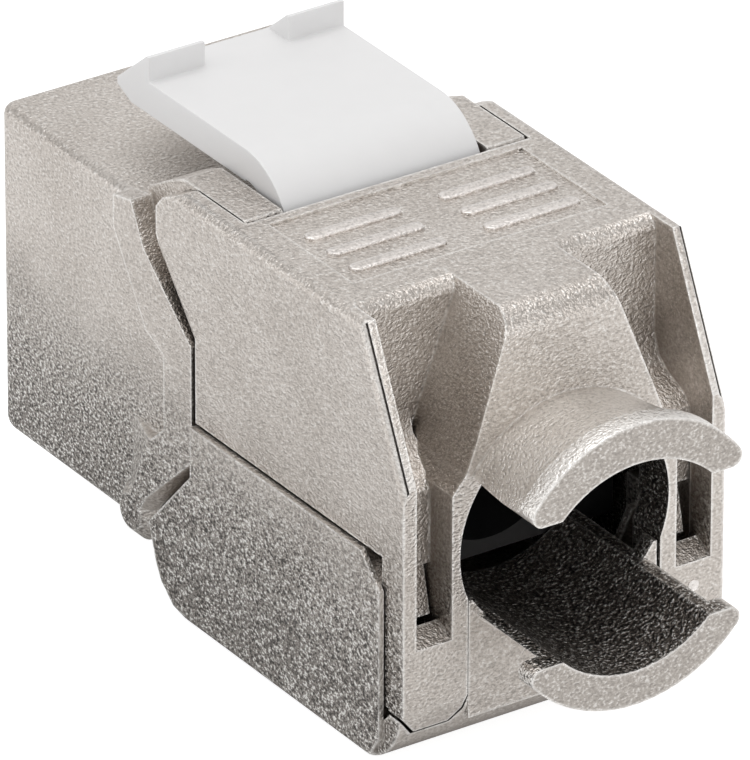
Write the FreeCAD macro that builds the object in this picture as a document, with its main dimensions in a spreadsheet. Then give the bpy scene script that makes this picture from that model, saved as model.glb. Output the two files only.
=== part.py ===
import FreeCAD, Part
import os
import re
import Sketcher
from FreeCAD import Vector

# Shielded keystone jack, millimetres.
# Jack frame while drawing: X across the width, Y from the port face to the cable end, Z up from the
# underside of the front housing. Each piece's Placement then moves it so that the origin lies on the
# surface the jack stands on, under the middle of its length.

SIZES = (
    # Front housing
    ("body_half_width", 8.0),
    ("ear_proud", 0.6),
    ("front_top", 15.65),
    ("front_corner_radius", 0.7),
    ("front_edge_radius", 0.45),
    ("front_foot_radius", 0.8),
    ("shell_rear", 13.2),
    ("shoulder_rear", 11.0),
    ("ear_thickness", 1.0),
    ("ear_front", 9.9),
    ("ear_top", 15.95),
    ("ear_top_rear", 11.3),
    ("ear_waist_y", 12.25),
    ("ear_waist_z", 14.1),
    ("ear_hip_y", 14.5),
    ("ear_hip_z", 12.15),
    ("ear_rear", 15.85),
    ("ear_rear_top", 11.0),
    ("ear_rear_low", 5.2),
    ("ear_heel_y", 12.6),
    ("ear_heel_z", 1.9),
    ("ear_step_y", 13.7),
    ("ear_step_top", 9.7),
    ("ear_step_low", 6.2),
    ("ear_step_foot", 5.3),
    ("ear_step_wedge", 1.0),
    ("ear_step_bend_y", 12.35),
    ("ear_step_bend_z", 10.3),
    ("ear_step_neck", 11.15),
    ("ear_step_neck_z", 12.15),
    ("ear_step_throat", 14.15),
    ("ear_bevel", 0.35),
    ("ear_ramp_y", 10.6),
    ("ear_ramp_low", 0.75),
    ("knuckle_radius", 1.4),
    ("knuckle_face_radius", 0.8),
    ("belly_rear", 9.45),
    ("belly_top", 3.0),
    ("lug_inner", 5.1),
    ("lug_top", 17.7),
    ("lug_bottom", 13.4),
    ("lug_ramp_front", 11.05),
    ("lug_ramp_low", 16.2),
    ("lug_ramp_mid_y", 12.0),
    ("lug_ramp_mid_z", 16.8),
    ("lug_ramp_rear", 12.9),
    ("lug_ramp_high", 17.3),
    ("lug_crest_y", 13.8),
    ("lug_radius", 3.7),
    ("hook_half_width", 4.5),
    ("hook_front", 5.6),
    ("hook_catch", 8.1),
    ("hook_land", 0.7),
    ("foot_depth", 2.1),
    # Port opening in the front housing
    ("port_wall", 0.3),
    ("port_floor", 2.6),
    ("port_ceiling", 13.4),
    # Hinges
    ("upper_hinge_y", 15.2),
    ("upper_hinge_z", 15.7),
    ("lower_hinge_y", 11.05),
    ("lower_hinge_z", 1.1),
    ("trunnion_radius", 1.1),
    ("trunnion_length", 1.4),
    ("pivot_radius", 0.8),
    ("pivot_length", 0.5),
    ("running_gap", 0.05),
    ("side_gap", 0.08),
    ("end_gap", 0.1),
    ("swing_gap", 0.15),
    # Latch
    ("latch_half_width", 4.9),
    ("latch_nose_y", 5.46),
    ("latch_nose_z", 18.1),
    ("latch_nose_top", 18.4),
    ("latch_under", 17.65),
    ("latch_under_front", 6.5),
    ("tab_top", 20.3),
    ("tab_crest_y", 7.75),
    ("tab_rear", 7.94),
    ("tab_inner", 2.1),
    ("latch_arch_radius", 3.45),
    ("latch_thickness", 1.4),
    ("root_y", 16.95),
    ("root_z", 15.9),
    ("root_radius", 0.75),
    ("root_neck", 1.0),
    ("root_slot", 1.5),
    ("seat_top", 16.3),
    ("seat_rear", 18.5),
    ("seat_rear_low", 18.1),
    ("seat_rear_bend", 14.8),
    # Upper door
    ("door_top", 17.7),
    ("door_roof", 1.0),
    ("door_edge_radius", 0.45),
    ("seam", 7.8),
    ("door_rear", 31.65),
    ("nose_y", 13.2),
    ("nose_low", 15.3),
    ("nose_high", 16.5),
    ("nose_round_y", 13.7),
    ("nose_round_z", 17.1),
    ("nose_top_y", 15.0),
    ("cheek_y", 13.55),
    ("cheek_z", 14.1),
    ("jaw_y", 14.75),
    ("jaw_z", 12.7),
    ("door_front", 16.15),
    ("door_front_top", 11.0),
    ("door_slope_top", 28.6),
    ("door_slope_low", 11.2),
    ("door_clear_radius", 3.95),
    ("pocket_front", 27.4),
    ("pocket_wall", 0.9),
    ("pocket_rim", 0.65),
    ("pocket_edge_radius", 0.6),
    ("hood_top_half", 2.5),
    ("hood_low_half", 4.9),
    ("hood_low", 11.2),
    ("hood_foot", 10.35),
    ("hood_slope_top", 31.3),
    ("hood_slope_low", 12.4),
    ("hood_radius", 1.3),
    ("leg_inner", 4.8),
    ("leg_post", 0.8),
    ("leg_post_depth", 2.0),
    ("leg_thickness", 1.05),
    ("leg_foot", -0.2),
    ("leg_foot_bend", 0.3),
    ("leg_foot_corner", 0.9),
    ("leg_toe", 0.2),
    ("leg_side_front", 30.1),
    ("leg_side_foot", 0.65),
    ("leg_side_toe", 0.7),
    ("recess_low", 6.6),
    ("recess_back", 30.0),
    ("recess_wall", 0.5),
    ("recess_shoulder", 10.0),
    ("recess_brow_y", 29.5),
    ("recess_brow_z", 10.5),
    ("recess_lap_y", 28.5),
    ("recess_lap_z", 10.85),
    ("recess_bend_y", 27.75),
    ("recess_bend_z", 11.4),
    ("recess_top", 12.4),
    ("window_sill", 4.2),
    ("window_sill_drop", 0.5),
    ("grip_front", 19.15),
    ("grip_rear", 25.4),
    ("grip_half_width", 6.3),
    ("grip_depth", 0.15),
    ("bar_outer", 5.6),
    ("bar_inner", 1.05),
    ("bar_first", 20.7),
    ("bar_pitch", 1.65),
    ("bar_width", 0.5),
    # Collar
    ("cable_axis", 7.75),
    ("collar_rear", 36.85),
    ("flange_thickness", 1.0),
    ("collar_core", 3.5),
    ("collar_sweep", 160.0),
    ("collar_tip_radius", 0.5),
    ("upper_bore_z", 7.37),
    ("upper_bore_radius", 5.2),
    ("upper_rim_z", 8.15),
    ("upper_rim_radius", 6.25),
    ("upper_end", 11.0),
    ("neck_front", 28.5),
    ("neck_radius", 5.4),
    ("neck_waist_radius", 5.65),
    ("neck_flare_radius", 6.1),
    ("lower_rim_z", 8.1),
    ("lower_bore_radius", 5.15),
    ("lower_rim_radius", 6.75),
    ("lower_end", 4.45),
    ("trough_front", 26.3),
    ("trough_radius", 5.6),
    # Lower door
    ("panel_proud", 0.3),
    ("panel_edge_radius", 0.5),
    ("panel_top", 7.5),
    ("panel_rear", 30.35),
    ("panel_corner", 1.35),
    ("panel_front", 16.15),
    ("panel_front_low", 5.1),
    ("panel_heel_y", 12.95),
    ("panel_heel_z", 1.6),
    ("panel_toe_y", 13.5),
    ("panel_toe_z", -0.1),
    ("panel_chin_y", 13.9),
    ("panel_chin_z", -0.85),
    ("panel_jaw_y", 14.8),
    ("panel_jaw_z", -1.6),
    ("panel_bottom_front", 16.45),
    ("panel_foot_rear", 3.0),
    ("panel_floor", 1.1),
    ("rear_wall_top", 1.5),
    ("rear_corner_y", 29.3),
    ("rear_corner_z", 0.5),
    ("barrel_radius", 1.2),
    ("wall_thickness", 1.1),
    ("apron_half_width", 4.7),
    ("apron_top", 5.2),
    ("apron_rear", 31.55),
    ("apron_thickness", 0.8),
    ("tooth_inner", 5.7),
    ("tooth_low", 4.3),
    ("tooth_top", 6.5),
    ("tooth_post_front", 27.9),
    ("tooth_post_rear", 28.8),
    ("web_thickness", 0.4),
    ("web_inner", 3.9),
    ("web_low", 3.9),
    ("web_bend", 4.75),
    ("web_shoulder", 5.4),
    ("web_top", 5.25),
    # Inside
    ("fit_gap", 0.05),
    ("insert_front", 0.9),
    ("board_front", 13.4),
    ("board_thickness", 1.0),
    ("board_edge", 0.2),
    ("board_low", 3.3),
    ("board_high", 13.2),
    ("plug_half_width", 5.9),
    ("plug_floor", 6.0),
    ("plug_ceiling", 12.75),
    ("plug_depth", 12.2),
    ("notch_half_width", 3.1),
    ("notch_floor", 3.5),
    ("contact_pitch", 1.02),
    ("contact_width", 0.36),
    ("contact_thickness", 0.3),
    ("contact_run", 12.3),
    ("contact_bend_y", 3.6),
    ("contact_tip_y", 9.6),
    ("contact_tip_z", 10.6),
    ("block_rear", 20.2),
    ("block_low", 3.5),
    ("block_high", 12.6),
    ("tower_pitch", 3.0),
    ("tower_slot", 0.9),
    ("tower_depth", 4.2),
    ("tower_height", 2.4),
    ("blade_width", 1.9),
    ("blade_thickness", 0.4),
    ("blade_rear", 19.6),
    ("blade_slot", 0.5),
    ("manager_rear", 26.2),
    ("manager_bore", 3.4),
    ("manager_wall", 1.4),
    ("manager_low", 3.7),
    ("manager_high", 12.4),
    ("spring_low", 7.6),
    ("spring_high", 10.2),
    ("spring_front", 2.1),
    ("spring_rear", 9.9),
    ("spring_thickness", 0.2),
    ("spring_bow", 0.26),
    ("spring_recess", 0.4),
)
NAMES = dict(SIZES)

# Places that follow from the sizes, most of them counted inwards from the sides.
FOLLOWING = {
    "front_half_width": "(body_half_width - ear_proud)",
    "cheek_half_width": "(body_half_width - ear_thickness)",
    "panel_half_width": "(body_half_width + panel_proud)",
    "pocket_half_width": "(body_half_width - pocket_rim)",
    "wall_inner": "(body_half_width - wall_thickness)",
    "port_half_width": "(body_half_width - ear_thickness - port_wall)",
    "board_half_width": "(body_half_width - ear_thickness - port_wall - board_edge)",
    "block_half_width": "(body_half_width - ear_thickness - port_wall - 2 * board_edge)",
    "wall_clear_radius": "(leg_side_front - lower_hinge_y - swing_gap)",
    "tooth_radius": "(door_rear - leg_thickness - lower_hinge_y - swing_gap)",
}

doc = FreeCAD.newDocument("keystone_jack")
sheet = doc.addObject("Spreadsheet::Sheet", "dims")
for row, (name, size) in enumerate(SIZES, start=1):
    sheet.set("A%d" % row, name)
    sheet.set("B%d" % row, str(size))
    sheet.setAlias("B%d" % row, name)
doc.recompute()

# The planes' normals: +Z, -Y and +X. The sign turns a place along the axis into a sketch offset.
PLANES = {"XY": ("XY_Plane", 1), "XZ": ("XZ_Plane", -1), "YZ": ("YZ_Plane", 1)}


def spelled_out(text):
    """Write a formula with only the sheet's own names."""
    return re.sub(r"[a-z_]+", lambda word: FOLLOWING.get(word.group(0), word.group(0)), str(text))


def bound(text):
    """Write a size formula so that it reads the sheet."""
    return re.sub(r"[a-z_]+", lambda word: "dims." + word.group(0) if word.group(0) in NAMES
                  else word.group(0), spelled_out(text))


def value(text):
    """Work a size formula out now."""
    return float(sheet.evalExpression(spelled_out(text)))


def new_body(label):
    """Start a piece and stand it in the part's own frame."""
    body = doc.addObject("PartDesign::Body", label)
    body.Label = label
    body.setExpression("Placement.Base.y", bound("-collar_rear / 2"))
    body.setExpression("Placement.Base.z", bound("foot_depth"))
    return body


def new_sketch(body, name, plane, start):
    """Put an empty sketch on one of the body's own planes, moved along its axis to start."""
    role, sign = PLANES[plane]
    support = [item for item in body.Origin.OriginFeatures if item.Role == role][0]
    sketch = body.newObject("Sketcher::SketchObject", name)
    sketch.AttachmentSupport = (support, [""])
    sketch.MapMode = "FlatFace"
    sketch.setExpression("AttachmentOffset.Base.z", bound("%d * (%s)" % (sign, start)))
    return sketch


def add_loop(sketch, points):
    """Draw a closed outline whose corners are all tied to the sheet."""
    corners = [Vector(value(u), value(v), 0) for u, v in points]
    first = sketch.GeometryCount
    count = len(corners)
    for number, corner in enumerate(corners):
        sketch.addGeometry(Part.LineSegment(corner, corners[(number + 1) % count]), False)
    for number in range(count):
        following = first + (number + 1) % count
        sketch.addConstraint(Sketcher.Constraint("Coincident", first + number, 2, following, 1))
    for number, (u, v) in enumerate(points):
        for kind, text in (("DistanceX", u), ("DistanceY", v)):
            place = Sketcher.Constraint(kind, -1, 1, first + number, 1, value(text))
            index = sketch.addConstraint(place)
            sketch.setExpression("Constraints[%d]" % index, bound(text))


def add_circle(sketch, centre, radius):
    """Draw a circle tied to the sheet."""
    middle = Vector(value(centre[0]), value(centre[1]), 0)
    number = sketch.addGeometry(Part.Circle(middle, Vector(0, 0, 1), value(radius)), False)
    rules = (
        (Sketcher.Constraint("DistanceX", -1, 1, number, 3, middle.x), centre[0]),
        (Sketcher.Constraint("DistanceY", -1, 1, number, 3, middle.y), centre[1]),
        (Sketcher.Constraint("Radius", number, value(radius)), radius),
    )
    for rule, text in rules:
        index = sketch.addConstraint(rule)
        sketch.setExpression("Constraints[%d]" % index, bound(text))


def extrude(body, name, plane, sketch, length, cut):
    """Pad or pocket a sketch towards the positive end of its axis."""
    kind = "PartDesign::Pocket" if cut else "PartDesign::Pad"
    feature = body.newObject(kind, name)
    feature.Profile = sketch
    feature.setExpression("Length", bound(length))
    forward = PLANES[plane][1] > 0
    feature.Reversed = forward if cut else not forward
    return feature


def pad(body, name, plane, points, start, end, cut=False):
    """Extrude an outline from start to end along its plane's axis."""
    sketch = new_sketch(body, name + "_sketch", plane, start)
    add_loop(sketch, points)
    return extrude(body, name, plane, sketch, "(%s) - (%s)" % (end, start), cut)


def pocket(body, name, plane, points, start, end):
    """Cut an outline away from start to end."""
    return pad(body, name, plane, points, start, end, cut=True)


def rod(body, name, plane, centre, radius, start, end, cut=False):
    """Extrude a circle from start to end."""
    sketch = new_sketch(body, name + "_sketch", plane, start)
    add_circle(sketch, centre, radius)
    return extrude(body, name, plane, sketch, "(%s) - (%s)" % (end, start), cut)


def loft(body, name, sections):
    """Join outlines on planes across the width by straight lines. A pair is a circle."""
    sketches = []
    for number, (start, outline) in enumerate(sections, start=1):
        sketch = new_sketch(body, "%s_sketch_%d" % (name, number), "YZ", start)
        if len(outline) == 2:
            add_circle(sketch, *outline)
        else:
            add_loop(sketch, outline)
        sketches.append(sketch)
    feature = body.newObject("PartDesign::AdditiveLoft", name)
    feature.Profile = sketches[0]
    feature.Sections = [(sketch, [""]) for sketch in sketches[1:]]
    feature.Ruled = True
    return feature


def rectangle(low_u, low_v, high_u, high_v):
    """The four corners of an upright rectangle."""
    return [(low_u, low_v), (high_u, low_v), (high_u, high_v), (low_u, high_v)]


def both_sides(inner, outer):
    """The right-hand and the left-hand stretch of X between two distances from the middle."""
    return (("left", inner, outer), ("right", "-(%s)" % outer, "-(%s)" % inner))


def mirrored(points):
    """An outline on the XZ plane from its half on the +X side, from top to bottom."""
    return points + [("-(%s)" % u, v) for u, v in reversed(points)]


def revolve(body, name, points, axis_z, angle):
    """Turn an outline about a lengthwise axis, evenly to both sides of the middle plane."""
    sketch = new_sketch(body, name + "_sketch", "YZ", "0")
    sketch.setExpression("AttachmentOffset.Base.y", bound(axis_z))
    add_loop(sketch, points)
    feature = body.newObject("PartDesign::Revolution", name)
    feature.Profile = sketch
    feature.ReferenceAxis = (sketch, ["H_Axis"])
    feature.Midplane = True
    feature.setExpression("Angle", bound(angle))
    return feature


def soften(body, name, radius, chosen, kind="Fillet"):
    """Round or bevel the edges of the body's last feature that the test picks."""
    doc.recompute()
    base = body.Tip
    picked = ["Edge%d" % (number + 1) for number, edge in enumerate(base.Shape.Edges) if chosen(edge)]
    feature = body.newObject("PartDesign::" + kind, name)
    feature.Base = (base, picked)
    feature.setExpression("Radius" if kind == "Fillet" else "Size", bound(radius))
    return feature


def near(number, text):
    """Whether a coordinate lies on the place that a formula gives."""
    return abs(number - value(text)) < 0.01


def along(edge, axis):
    """Whether an edge is straight and parallel to an axis."""
    if edge.Curve.TypeId != "Part::GeomLine":
        return False
    return abs(abs(edge.Curve.Direction.dot(axis)) - 1) < 1e-6


AXIS_X = Vector(1, 0, 0)
AXIS_Y = Vector(0, 1, 0)
AXIS_Z = Vector(0, 0, 1)
UPPER_HINGE = ("upper_hinge_y", "upper_hinge_z")
LOWER_HINGE = ("lower_hinge_y", "lower_hinge_z")


def front_housing():
    """The casting that frames the port, carries both hinges and holds the latch."""
    body = new_body("front_housing")
    outline = rectangle("-front_half_width", "0", "front_half_width", "front_top")
    pad(body, "port_block", "XZ", outline, "0", "shoulder_rear")
    soften(body, "port_corners", "front_corner_radius",
           lambda edge: along(edge, AXIS_Z) and near(edge.CenterOfMass.y, "0"))
    soften(body, "port_long_edges", "front_edge_radius",
           lambda edge: along(edge, AXIS_Y) and near(edge.CenterOfMass.z, "front_top"))
    soften(body, "port_foot_edges", "front_foot_radius",
           lambda edge: along(edge, AXIS_Y) and near(edge.CenterOfMass.z, "0"))
    flank = rectangle("shoulder_rear - end_gap", "belly_top", "shell_rear", "ear_rear_top")
    pad(body, "flanks", "YZ", flank, "-front_half_width", "front_half_width")
    core = rectangle("shoulder_rear - end_gap", "belly_top", "shell_rear", "front_top")
    pad(body, "core", "YZ", core, "-cheek_half_width", "cheek_half_width")
    belly = rectangle("belly_rear", "-end_gap", "shell_rear", "belly_top")
    pocket(body, "belly", "YZ", belly, "-cheek_half_width", "cheek_half_width")
    back = [
        ("ear_front", "front_top"),
        ("ear_top_rear", "ear_top"),
        ("ear_waist_y", "ear_waist_z"),
        ("ear_hip_y", "ear_hip_z"),
        ("ear_rear", "ear_rear_top"),
    ]
    step = [
        ("ear_step_y", "ear_step_low"),
        ("ear_step_y", "ear_step_top"),
        ("ear_step_bend_y", "ear_step_bend_z"),
        ("ear_step_neck", "ear_step_neck_z"),
        ("ear_front", "ear_step_throat"),
    ]
    root = back + [
        ("ear_rear", "ear_rear_low"),
        ("ear_heel_y", "ear_heel_z"),
        ("lower_hinge_y", "lower_hinge_z - knuckle_radius"),
        ("ear_front", "0"),
        ("ear_ramp_y", "ear_step_foot"),
        ("ear_step_y - ear_step_wedge", "ear_step_foot"),
    ] + step
    face = back + [
        ("ear_rear", "ear_rear_low + ear_bevel"),
        ("ear_heel_y - ear_bevel", "ear_heel_z + ear_bevel"),
        ("lower_hinge_y", "lower_hinge_z - knuckle_face_radius"),
        ("ear_ramp_y", "ear_ramp_low"),
        ("ear_step_y - 1.2 * ear_step_wedge", "ear_step_foot"),
        ("ear_step_y - ear_step_wedge", "ear_step_foot"),
    ] + step
    ramp = [
        ("lug_ramp_front", "lug_bottom"),
        ("lug_ramp_front", "lug_ramp_low"),
        ("lug_ramp_mid_y", "lug_ramp_mid_z"),
        ("lug_ramp_rear", "lug_ramp_high"),
        ("lug_crest_y", "lug_top"),
        ("upper_hinge_y", "lug_top"),
        ("upper_hinge_y", "lug_bottom"),
    ]
    for side, start, end in both_sides("cheek_half_width", "front_half_width"):
        pad(body, side + "_ear_root", "YZ", root, start, end)
        rod(body, side + "_knuckle", "YZ", LOWER_HINGE, "knuckle_radius", start, end)
    for side, sign in (("left", ""), ("right", "-")):
        places = (sign + "front_half_width", sign + "body_half_width")
        loft(body, side + "_ear", list(zip(places, (root, face))))
        ends = ((LOWER_HINGE, "knuckle_radius"), (LOWER_HINGE, "knuckle_face_radius"))
        loft(body, side + "_knuckle_face", list(zip(places, ends)))
    for side, start, end in both_sides("lug_inner", "cheek_half_width"):
        rod(body, side + "_lug", "YZ", UPPER_HINGE, "lug_radius", start, end)
    brow = rectangle("lug_ramp_front", "front_top", "upper_hinge_y", "lug_top + lug_radius")
    pocket(body, "lug_brow", "YZ", brow, "-cheek_half_width", "cheek_half_width")
    for side, start, end in both_sides("lug_inner", "cheek_half_width"):
        pad(body, side + "_lug_ramp", "YZ", ramp, start, end)
    above = rectangle("lug_ramp_front", "lug_top", "seat_rear + lug_radius", "lug_top + lug_radius")
    pocket(body, "lug_tops", "YZ", above, "-cheek_half_width", "cheek_half_width")
    below = rectangle("shell_rear", "lug_bottom - lug_radius", "seat_rear + lug_radius", "lug_bottom")
    pocket(body, "lug_feet", "YZ", below, "-cheek_half_width", "cheek_half_width")
    seat = [
        ("shell_rear - end_gap", "lug_bottom"),
        ("seat_rear_low", "lug_bottom"),
        ("seat_rear", "seat_rear_bend"),
        ("seat_rear", "seat_top"),
        ("root_y - root_slot", "seat_top"),
        ("shell_rear", "front_top"),
        ("shell_rear - end_gap", "front_top"),
    ]
    pad(body, "latch_seat", "YZ", seat, "-lug_inner", "lug_inner")
    rod(body, "latch_groove", "YZ", ("root_y", "root_z"), "root_radius + running_gap",
        "-lug_inner", "lug_inner", cut=True)
    slot = rectangle("root_y - root_slot / 2", "root_z", "root_y + root_slot / 2", "seat_top + end_gap")
    pocket(body, "latch_slot", "YZ", slot, "-lug_inner", "lug_inner")
    bore = "trunnion_radius + running_gap"
    depth = "cheek_half_width - trunnion_length - end_gap"
    for side, start, end in both_sides(depth, "cheek_half_width"):
        rod(body, side + "_upper_bore", "YZ", UPPER_HINGE, bore, start, end, cut=True)
    depth = "cheek_half_width + pivot_length + end_gap"
    for side, start, end in both_sides("cheek_half_width", depth):
        rod(body, side + "_lower_bore", "YZ", LOWER_HINGE, "pivot_radius + running_gap", start, end, cut=True)
    port = rectangle("-port_half_width", "port_floor", "port_half_width", "port_ceiling")
    pocket(body, "port", "XZ", port, "-end_gap", "board_front")
    hook = [
        ("hook_front", "end_gap"),
        ("hook_front", "0"),
        ("hook_catch - hook_land", "-foot_depth"),
        ("hook_catch", "-foot_depth"),
        ("hook_catch", "end_gap"),
    ]
    pad(body, "panel_hook", "YZ", hook, "-hook_half_width", "hook_half_width")
    return body


def latch():
    """The sprung plastic latch: plate, two wedge tabs, arch and the bar that it is held by."""
    body = new_body("latch")
    edges = ("-latch_half_width", "latch_half_width")
    crown = "upper_hinge_z + latch_arch_radius"
    rod(body, "arch", "YZ", UPPER_HINGE, "latch_arch_radius", *edges)
    front = rectangle("upper_hinge_y - 2 * latch_arch_radius", "upper_hinge_z - 2 * latch_arch_radius",
                      "upper_hinge_y", "upper_hinge_z + 2 * latch_arch_radius")
    pocket(body, "arch_front", "YZ", front, *edges)
    under = rectangle("upper_hinge_y - end_gap", "upper_hinge_z - 2 * latch_arch_radius",
                      "upper_hinge_y + 2 * latch_arch_radius", "seat_top + 1.5 * end_gap")
    pocket(body, "arch_under", "YZ", under, *edges)
    rod(body, "arch_inside", "YZ", UPPER_HINGE, "latch_arch_radius - latch_thickness", *edges, cut=True)
    nose_run = "(tab_crest_y - latch_nose_y) * (upper_hinge_z + latch_arch_radius - latch_nose_top)"
    nose_back = "latch_nose_y + " + nose_run + " / (tab_top - latch_nose_top)"
    plate = [
        ("latch_nose_y", "latch_nose_top"),
        ("latch_nose_y", "latch_nose_z"),
        ("latch_under_front", "latch_under"),
        ("upper_hinge_y + end_gap", "latch_under"),
        ("upper_hinge_y + end_gap", crown),
        (nose_back, crown),
    ]
    pad(body, "plate", "YZ", plate, *edges)
    tab = [
        (nose_back, crown + " - end_gap"),
        ("tab_rear", crown + " - end_gap"),
        ("tab_rear", "tab_top"),
        ("tab_crest_y", "tab_top"),
        (nose_back, crown),
    ]
    for side, start, end in both_sides("tab_inner", "latch_half_width"):
        pad(body, side + "_tab", "YZ", tab, start, end)
    neck = rectangle("root_y - root_neck / 2", "root_z", "root_y + root_neck / 2",
                     "upper_hinge_z + latch_thickness")
    pad(body, "neck", "YZ", neck, *edges)
    rod(body, "root_bar", "YZ", ("root_y", "root_z"), "root_radius", *edges)
    return body


def upper_door():
    """The upper hinged shell: side walls, grip, rear pockets, hood, legs and the upper half collar."""
    body = new_body("upper_door")
    inner = "cheek_half_width + side_gap"
    profile = [
        ("nose_y", "nose_low"),
        ("nose_y", "nose_high"),
        ("nose_round_y", "nose_round_z"),
        ("nose_top_y", "door_top"),
        ("door_slope_top", "door_top"),
        ("door_rear", "door_slope_low"),
        ("door_rear", "seam"),
        ("door_front", "seam"),
        ("door_front", "door_front_top"),
        ("jaw_y", "jaw_z"),
        ("cheek_y", "cheek_z"),
    ]
    pad(body, "shell", "YZ", profile, "-body_half_width", "body_half_width")
    soften(body, "top_edges", "door_edge_radius",
           lambda edge: near(abs(edge.CenterOfMass.x), "body_half_width")
           and edge.CenterOfMass.z > value("door_front_top") and edge.CenterOfMass.y > value("nose_top_y"))
    cavity = rectangle("nose_y - end_gap", "seam - end_gap", "pocket_front - pocket_wall",
                       "door_top - door_roof")
    pocket(body, "cavity", "YZ", cavity, "-(%s)" % inner, inner)
    rear = rectangle("-pocket_half_width", "seam - end_gap", "pocket_half_width", "door_top + end_gap")
    pocket(body, "rear_pockets", "XZ", rear, "pocket_front", "door_rear + end_gap")
    soften(body, "pocket_edge", "pocket_edge_radius",
           lambda edge: along(edge, AXIS_X) and near(edge.CenterOfMass.z, "door_top")
           and near(edge.CenterOfMass.y, "pocket_front"))
    rod(body, "hinge_relief", "YZ", UPPER_HINGE, "door_clear_radius", "-(%s)" % inner, inner, cut=True)
    post = "leg_inner + leg_post"
    for side, sign in (("left", ""), ("right", "-")):
        foot = [
            (sign + "leg_inner", "leg_foot_corner"),
            (sign + "(leg_inner + leg_toe)", "leg_foot_bend"),
            (sign + "(%s)" % post, "leg_foot"),
            (sign + "(body_half_width - leg_side_toe)", "leg_foot"),
        ]
        leg = foot + [
            (sign + "body_half_width", "leg_side_foot"),
            (sign + "body_half_width", "seam + end_gap"),
            (sign + "pocket_half_width", "seam + end_gap"),
            (sign + "pocket_half_width", "window_sill"),
            (sign + "(%s)" % post, "window_sill"),
            (sign + "(%s)" % post, "seam + end_gap"),
            (sign + "leg_inner", "seam + end_gap"),
        ]
        pad(body, side + "_leg", "XZ", leg, "door_rear - leg_thickness", "door_rear")
        column = foot[:3] + [
            (sign + "(%s)" % post, "hood_foot - end_gap"),
            (sign + "leg_inner", "hood_foot - end_gap"),
        ]
        pad(body, side + "_post", "XZ", column, "door_rear - leg_post_depth", "door_rear - leg_thickness / 2")
    strip = rectangle("leg_side_front", "leg_side_foot + end_gap", "door_rear - leg_thickness / 2",
                      "seam + end_gap")
    for side, start, end in both_sides("pocket_half_width", "body_half_width"):
        pad(body, side + "_leg_side", "YZ", strip, start, end)
    sill = [
        ("door_rear - leg_thickness", "window_sill"),
        ("door_rear", "window_sill - window_sill_drop"),
        ("door_rear", "window_sill"),
    ]
    for side, start, end in both_sides(post, "pocket_half_width"):
        pocket(body, side + "_sill", "YZ", sill, start, end)
    round_foot = [
        ("door_rear", "leg_foot_corner"),
        ("apron_rear - end_gap / 2", "leg_foot_bend"),
        ("apron_rear - 2 * end_gap", "leg_foot - end_gap"),
        ("door_rear + end_gap", "leg_foot - end_gap"),
        ("door_rear + end_gap", "leg_foot_corner"),
    ]
    pocket(body, "feet", "YZ", round_foot, "-body_half_width", "body_half_width")
    recess = [
        ("recess_back - recess_wall", "recess_low"),
        ("recess_back", "recess_low"),
        ("recess_back", "recess_shoulder"),
        ("recess_brow_y", "recess_brow_z"),
        ("recess_lap_y", "recess_lap_z"),
        ("recess_bend_y", "recess_bend_z"),
        ("pocket_front", "recess_top"),
        ("pocket_front - recess_wall", "recess_top"),
        ("pocket_front - recess_wall", "recess_bend_z"),
        ("recess_lap_y - recess_wall", "recess_lap_z - recess_wall"),
        ("recess_back - recess_wall", "recess_shoulder - recess_wall / 2"),
    ]
    for side, start, end in both_sides("leg_inner + end_gap", "pocket_half_width + end_gap"):
        pad(body, side + "_recess", "YZ", recess, start, end)
    hood = mirrored([
        ("hood_top_half", "door_top"),
        ("hood_low_half", "hood_low"),
        (post, "hood_foot"),
        (post, "seam"),
    ])
    pad(body, "hood", "XZ", hood, "pocket_front - pocket_edge_radius", "door_rear")
    slope = [
        ("hood_slope_top", "door_top"),
        ("door_rear", "hood_slope_low"),
        ("door_rear + end_gap", "hood_slope_low"),
        ("door_rear + end_gap", "door_top + end_gap"),
        ("hood_slope_top", "door_top + end_gap"),
    ]
    pocket(body, "hood_slope", "YZ", slope, "-pocket_half_width", "pocket_half_width")
    soften(body, "hood_brow", "hood_radius",
           lambda edge: along(edge, AXIS_X) and near(edge.CenterOfMass.z, "door_top")
           and near(edge.CenterOfMass.y, "hood_slope_top"))
    collar = [
        ("neck_front", "collar_core"),
        ("collar_rear", "collar_core"),
        ("collar_rear", "upper_rim_radius"),
        ("collar_rear - flange_thickness", "upper_rim_radius"),
        ("collar_rear - flange_thickness", "neck_flare_radius"),
        ("door_rear + 2 * flange_thickness", "neck_waist_radius"),
        ("door_rear", "neck_radius"),
        ("neck_front", "neck_radius"),
    ]
    revolve(body, "upper_collar", collar, "upper_rim_z", "collar_sweep")
    ends = rectangle("door_rear", "seam", "collar_rear + end_gap", "upper_end")
    pocket(body, "collar_ends", "YZ", ends, "-body_half_width", "body_half_width")
    soften(body, "collar_tips", "collar_tip_radius",
           lambda edge: along(edge, AXIS_Y) and near(edge.CenterOfMass.z, "upper_end")
           and edge.CenterOfMass.y > value("collar_rear - flange_thickness")
           and abs(edge.CenterOfMass.x) > value("upper_bore_radius"))
    rod(body, "cable_bore", "XZ", ("0", "upper_bore_z"), "upper_bore_radius",
        "pocket_front - 2 * pocket_wall", "collar_rear + end_gap", cut=True)
    for side, start, end in both_sides("cheek_half_width - trunnion_length", inner + " + end_gap"):
        rod(body, side + "_trunnion", "YZ", UPPER_HINGE, "trunnion_radius", start, end)
    grip = rectangle("-grip_half_width", "grip_front", "grip_half_width", "grip_rear")
    pocket(body, "grip", "XY", grip, "door_top - grip_depth", "door_top + end_gap")
    floor = "door_top - grip_depth - end_gap"
    for number in range(3):
        front = "bar_first + %d * bar_pitch" % number
        for side, start, end in both_sides("bar_inner", "bar_outer"):
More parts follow.
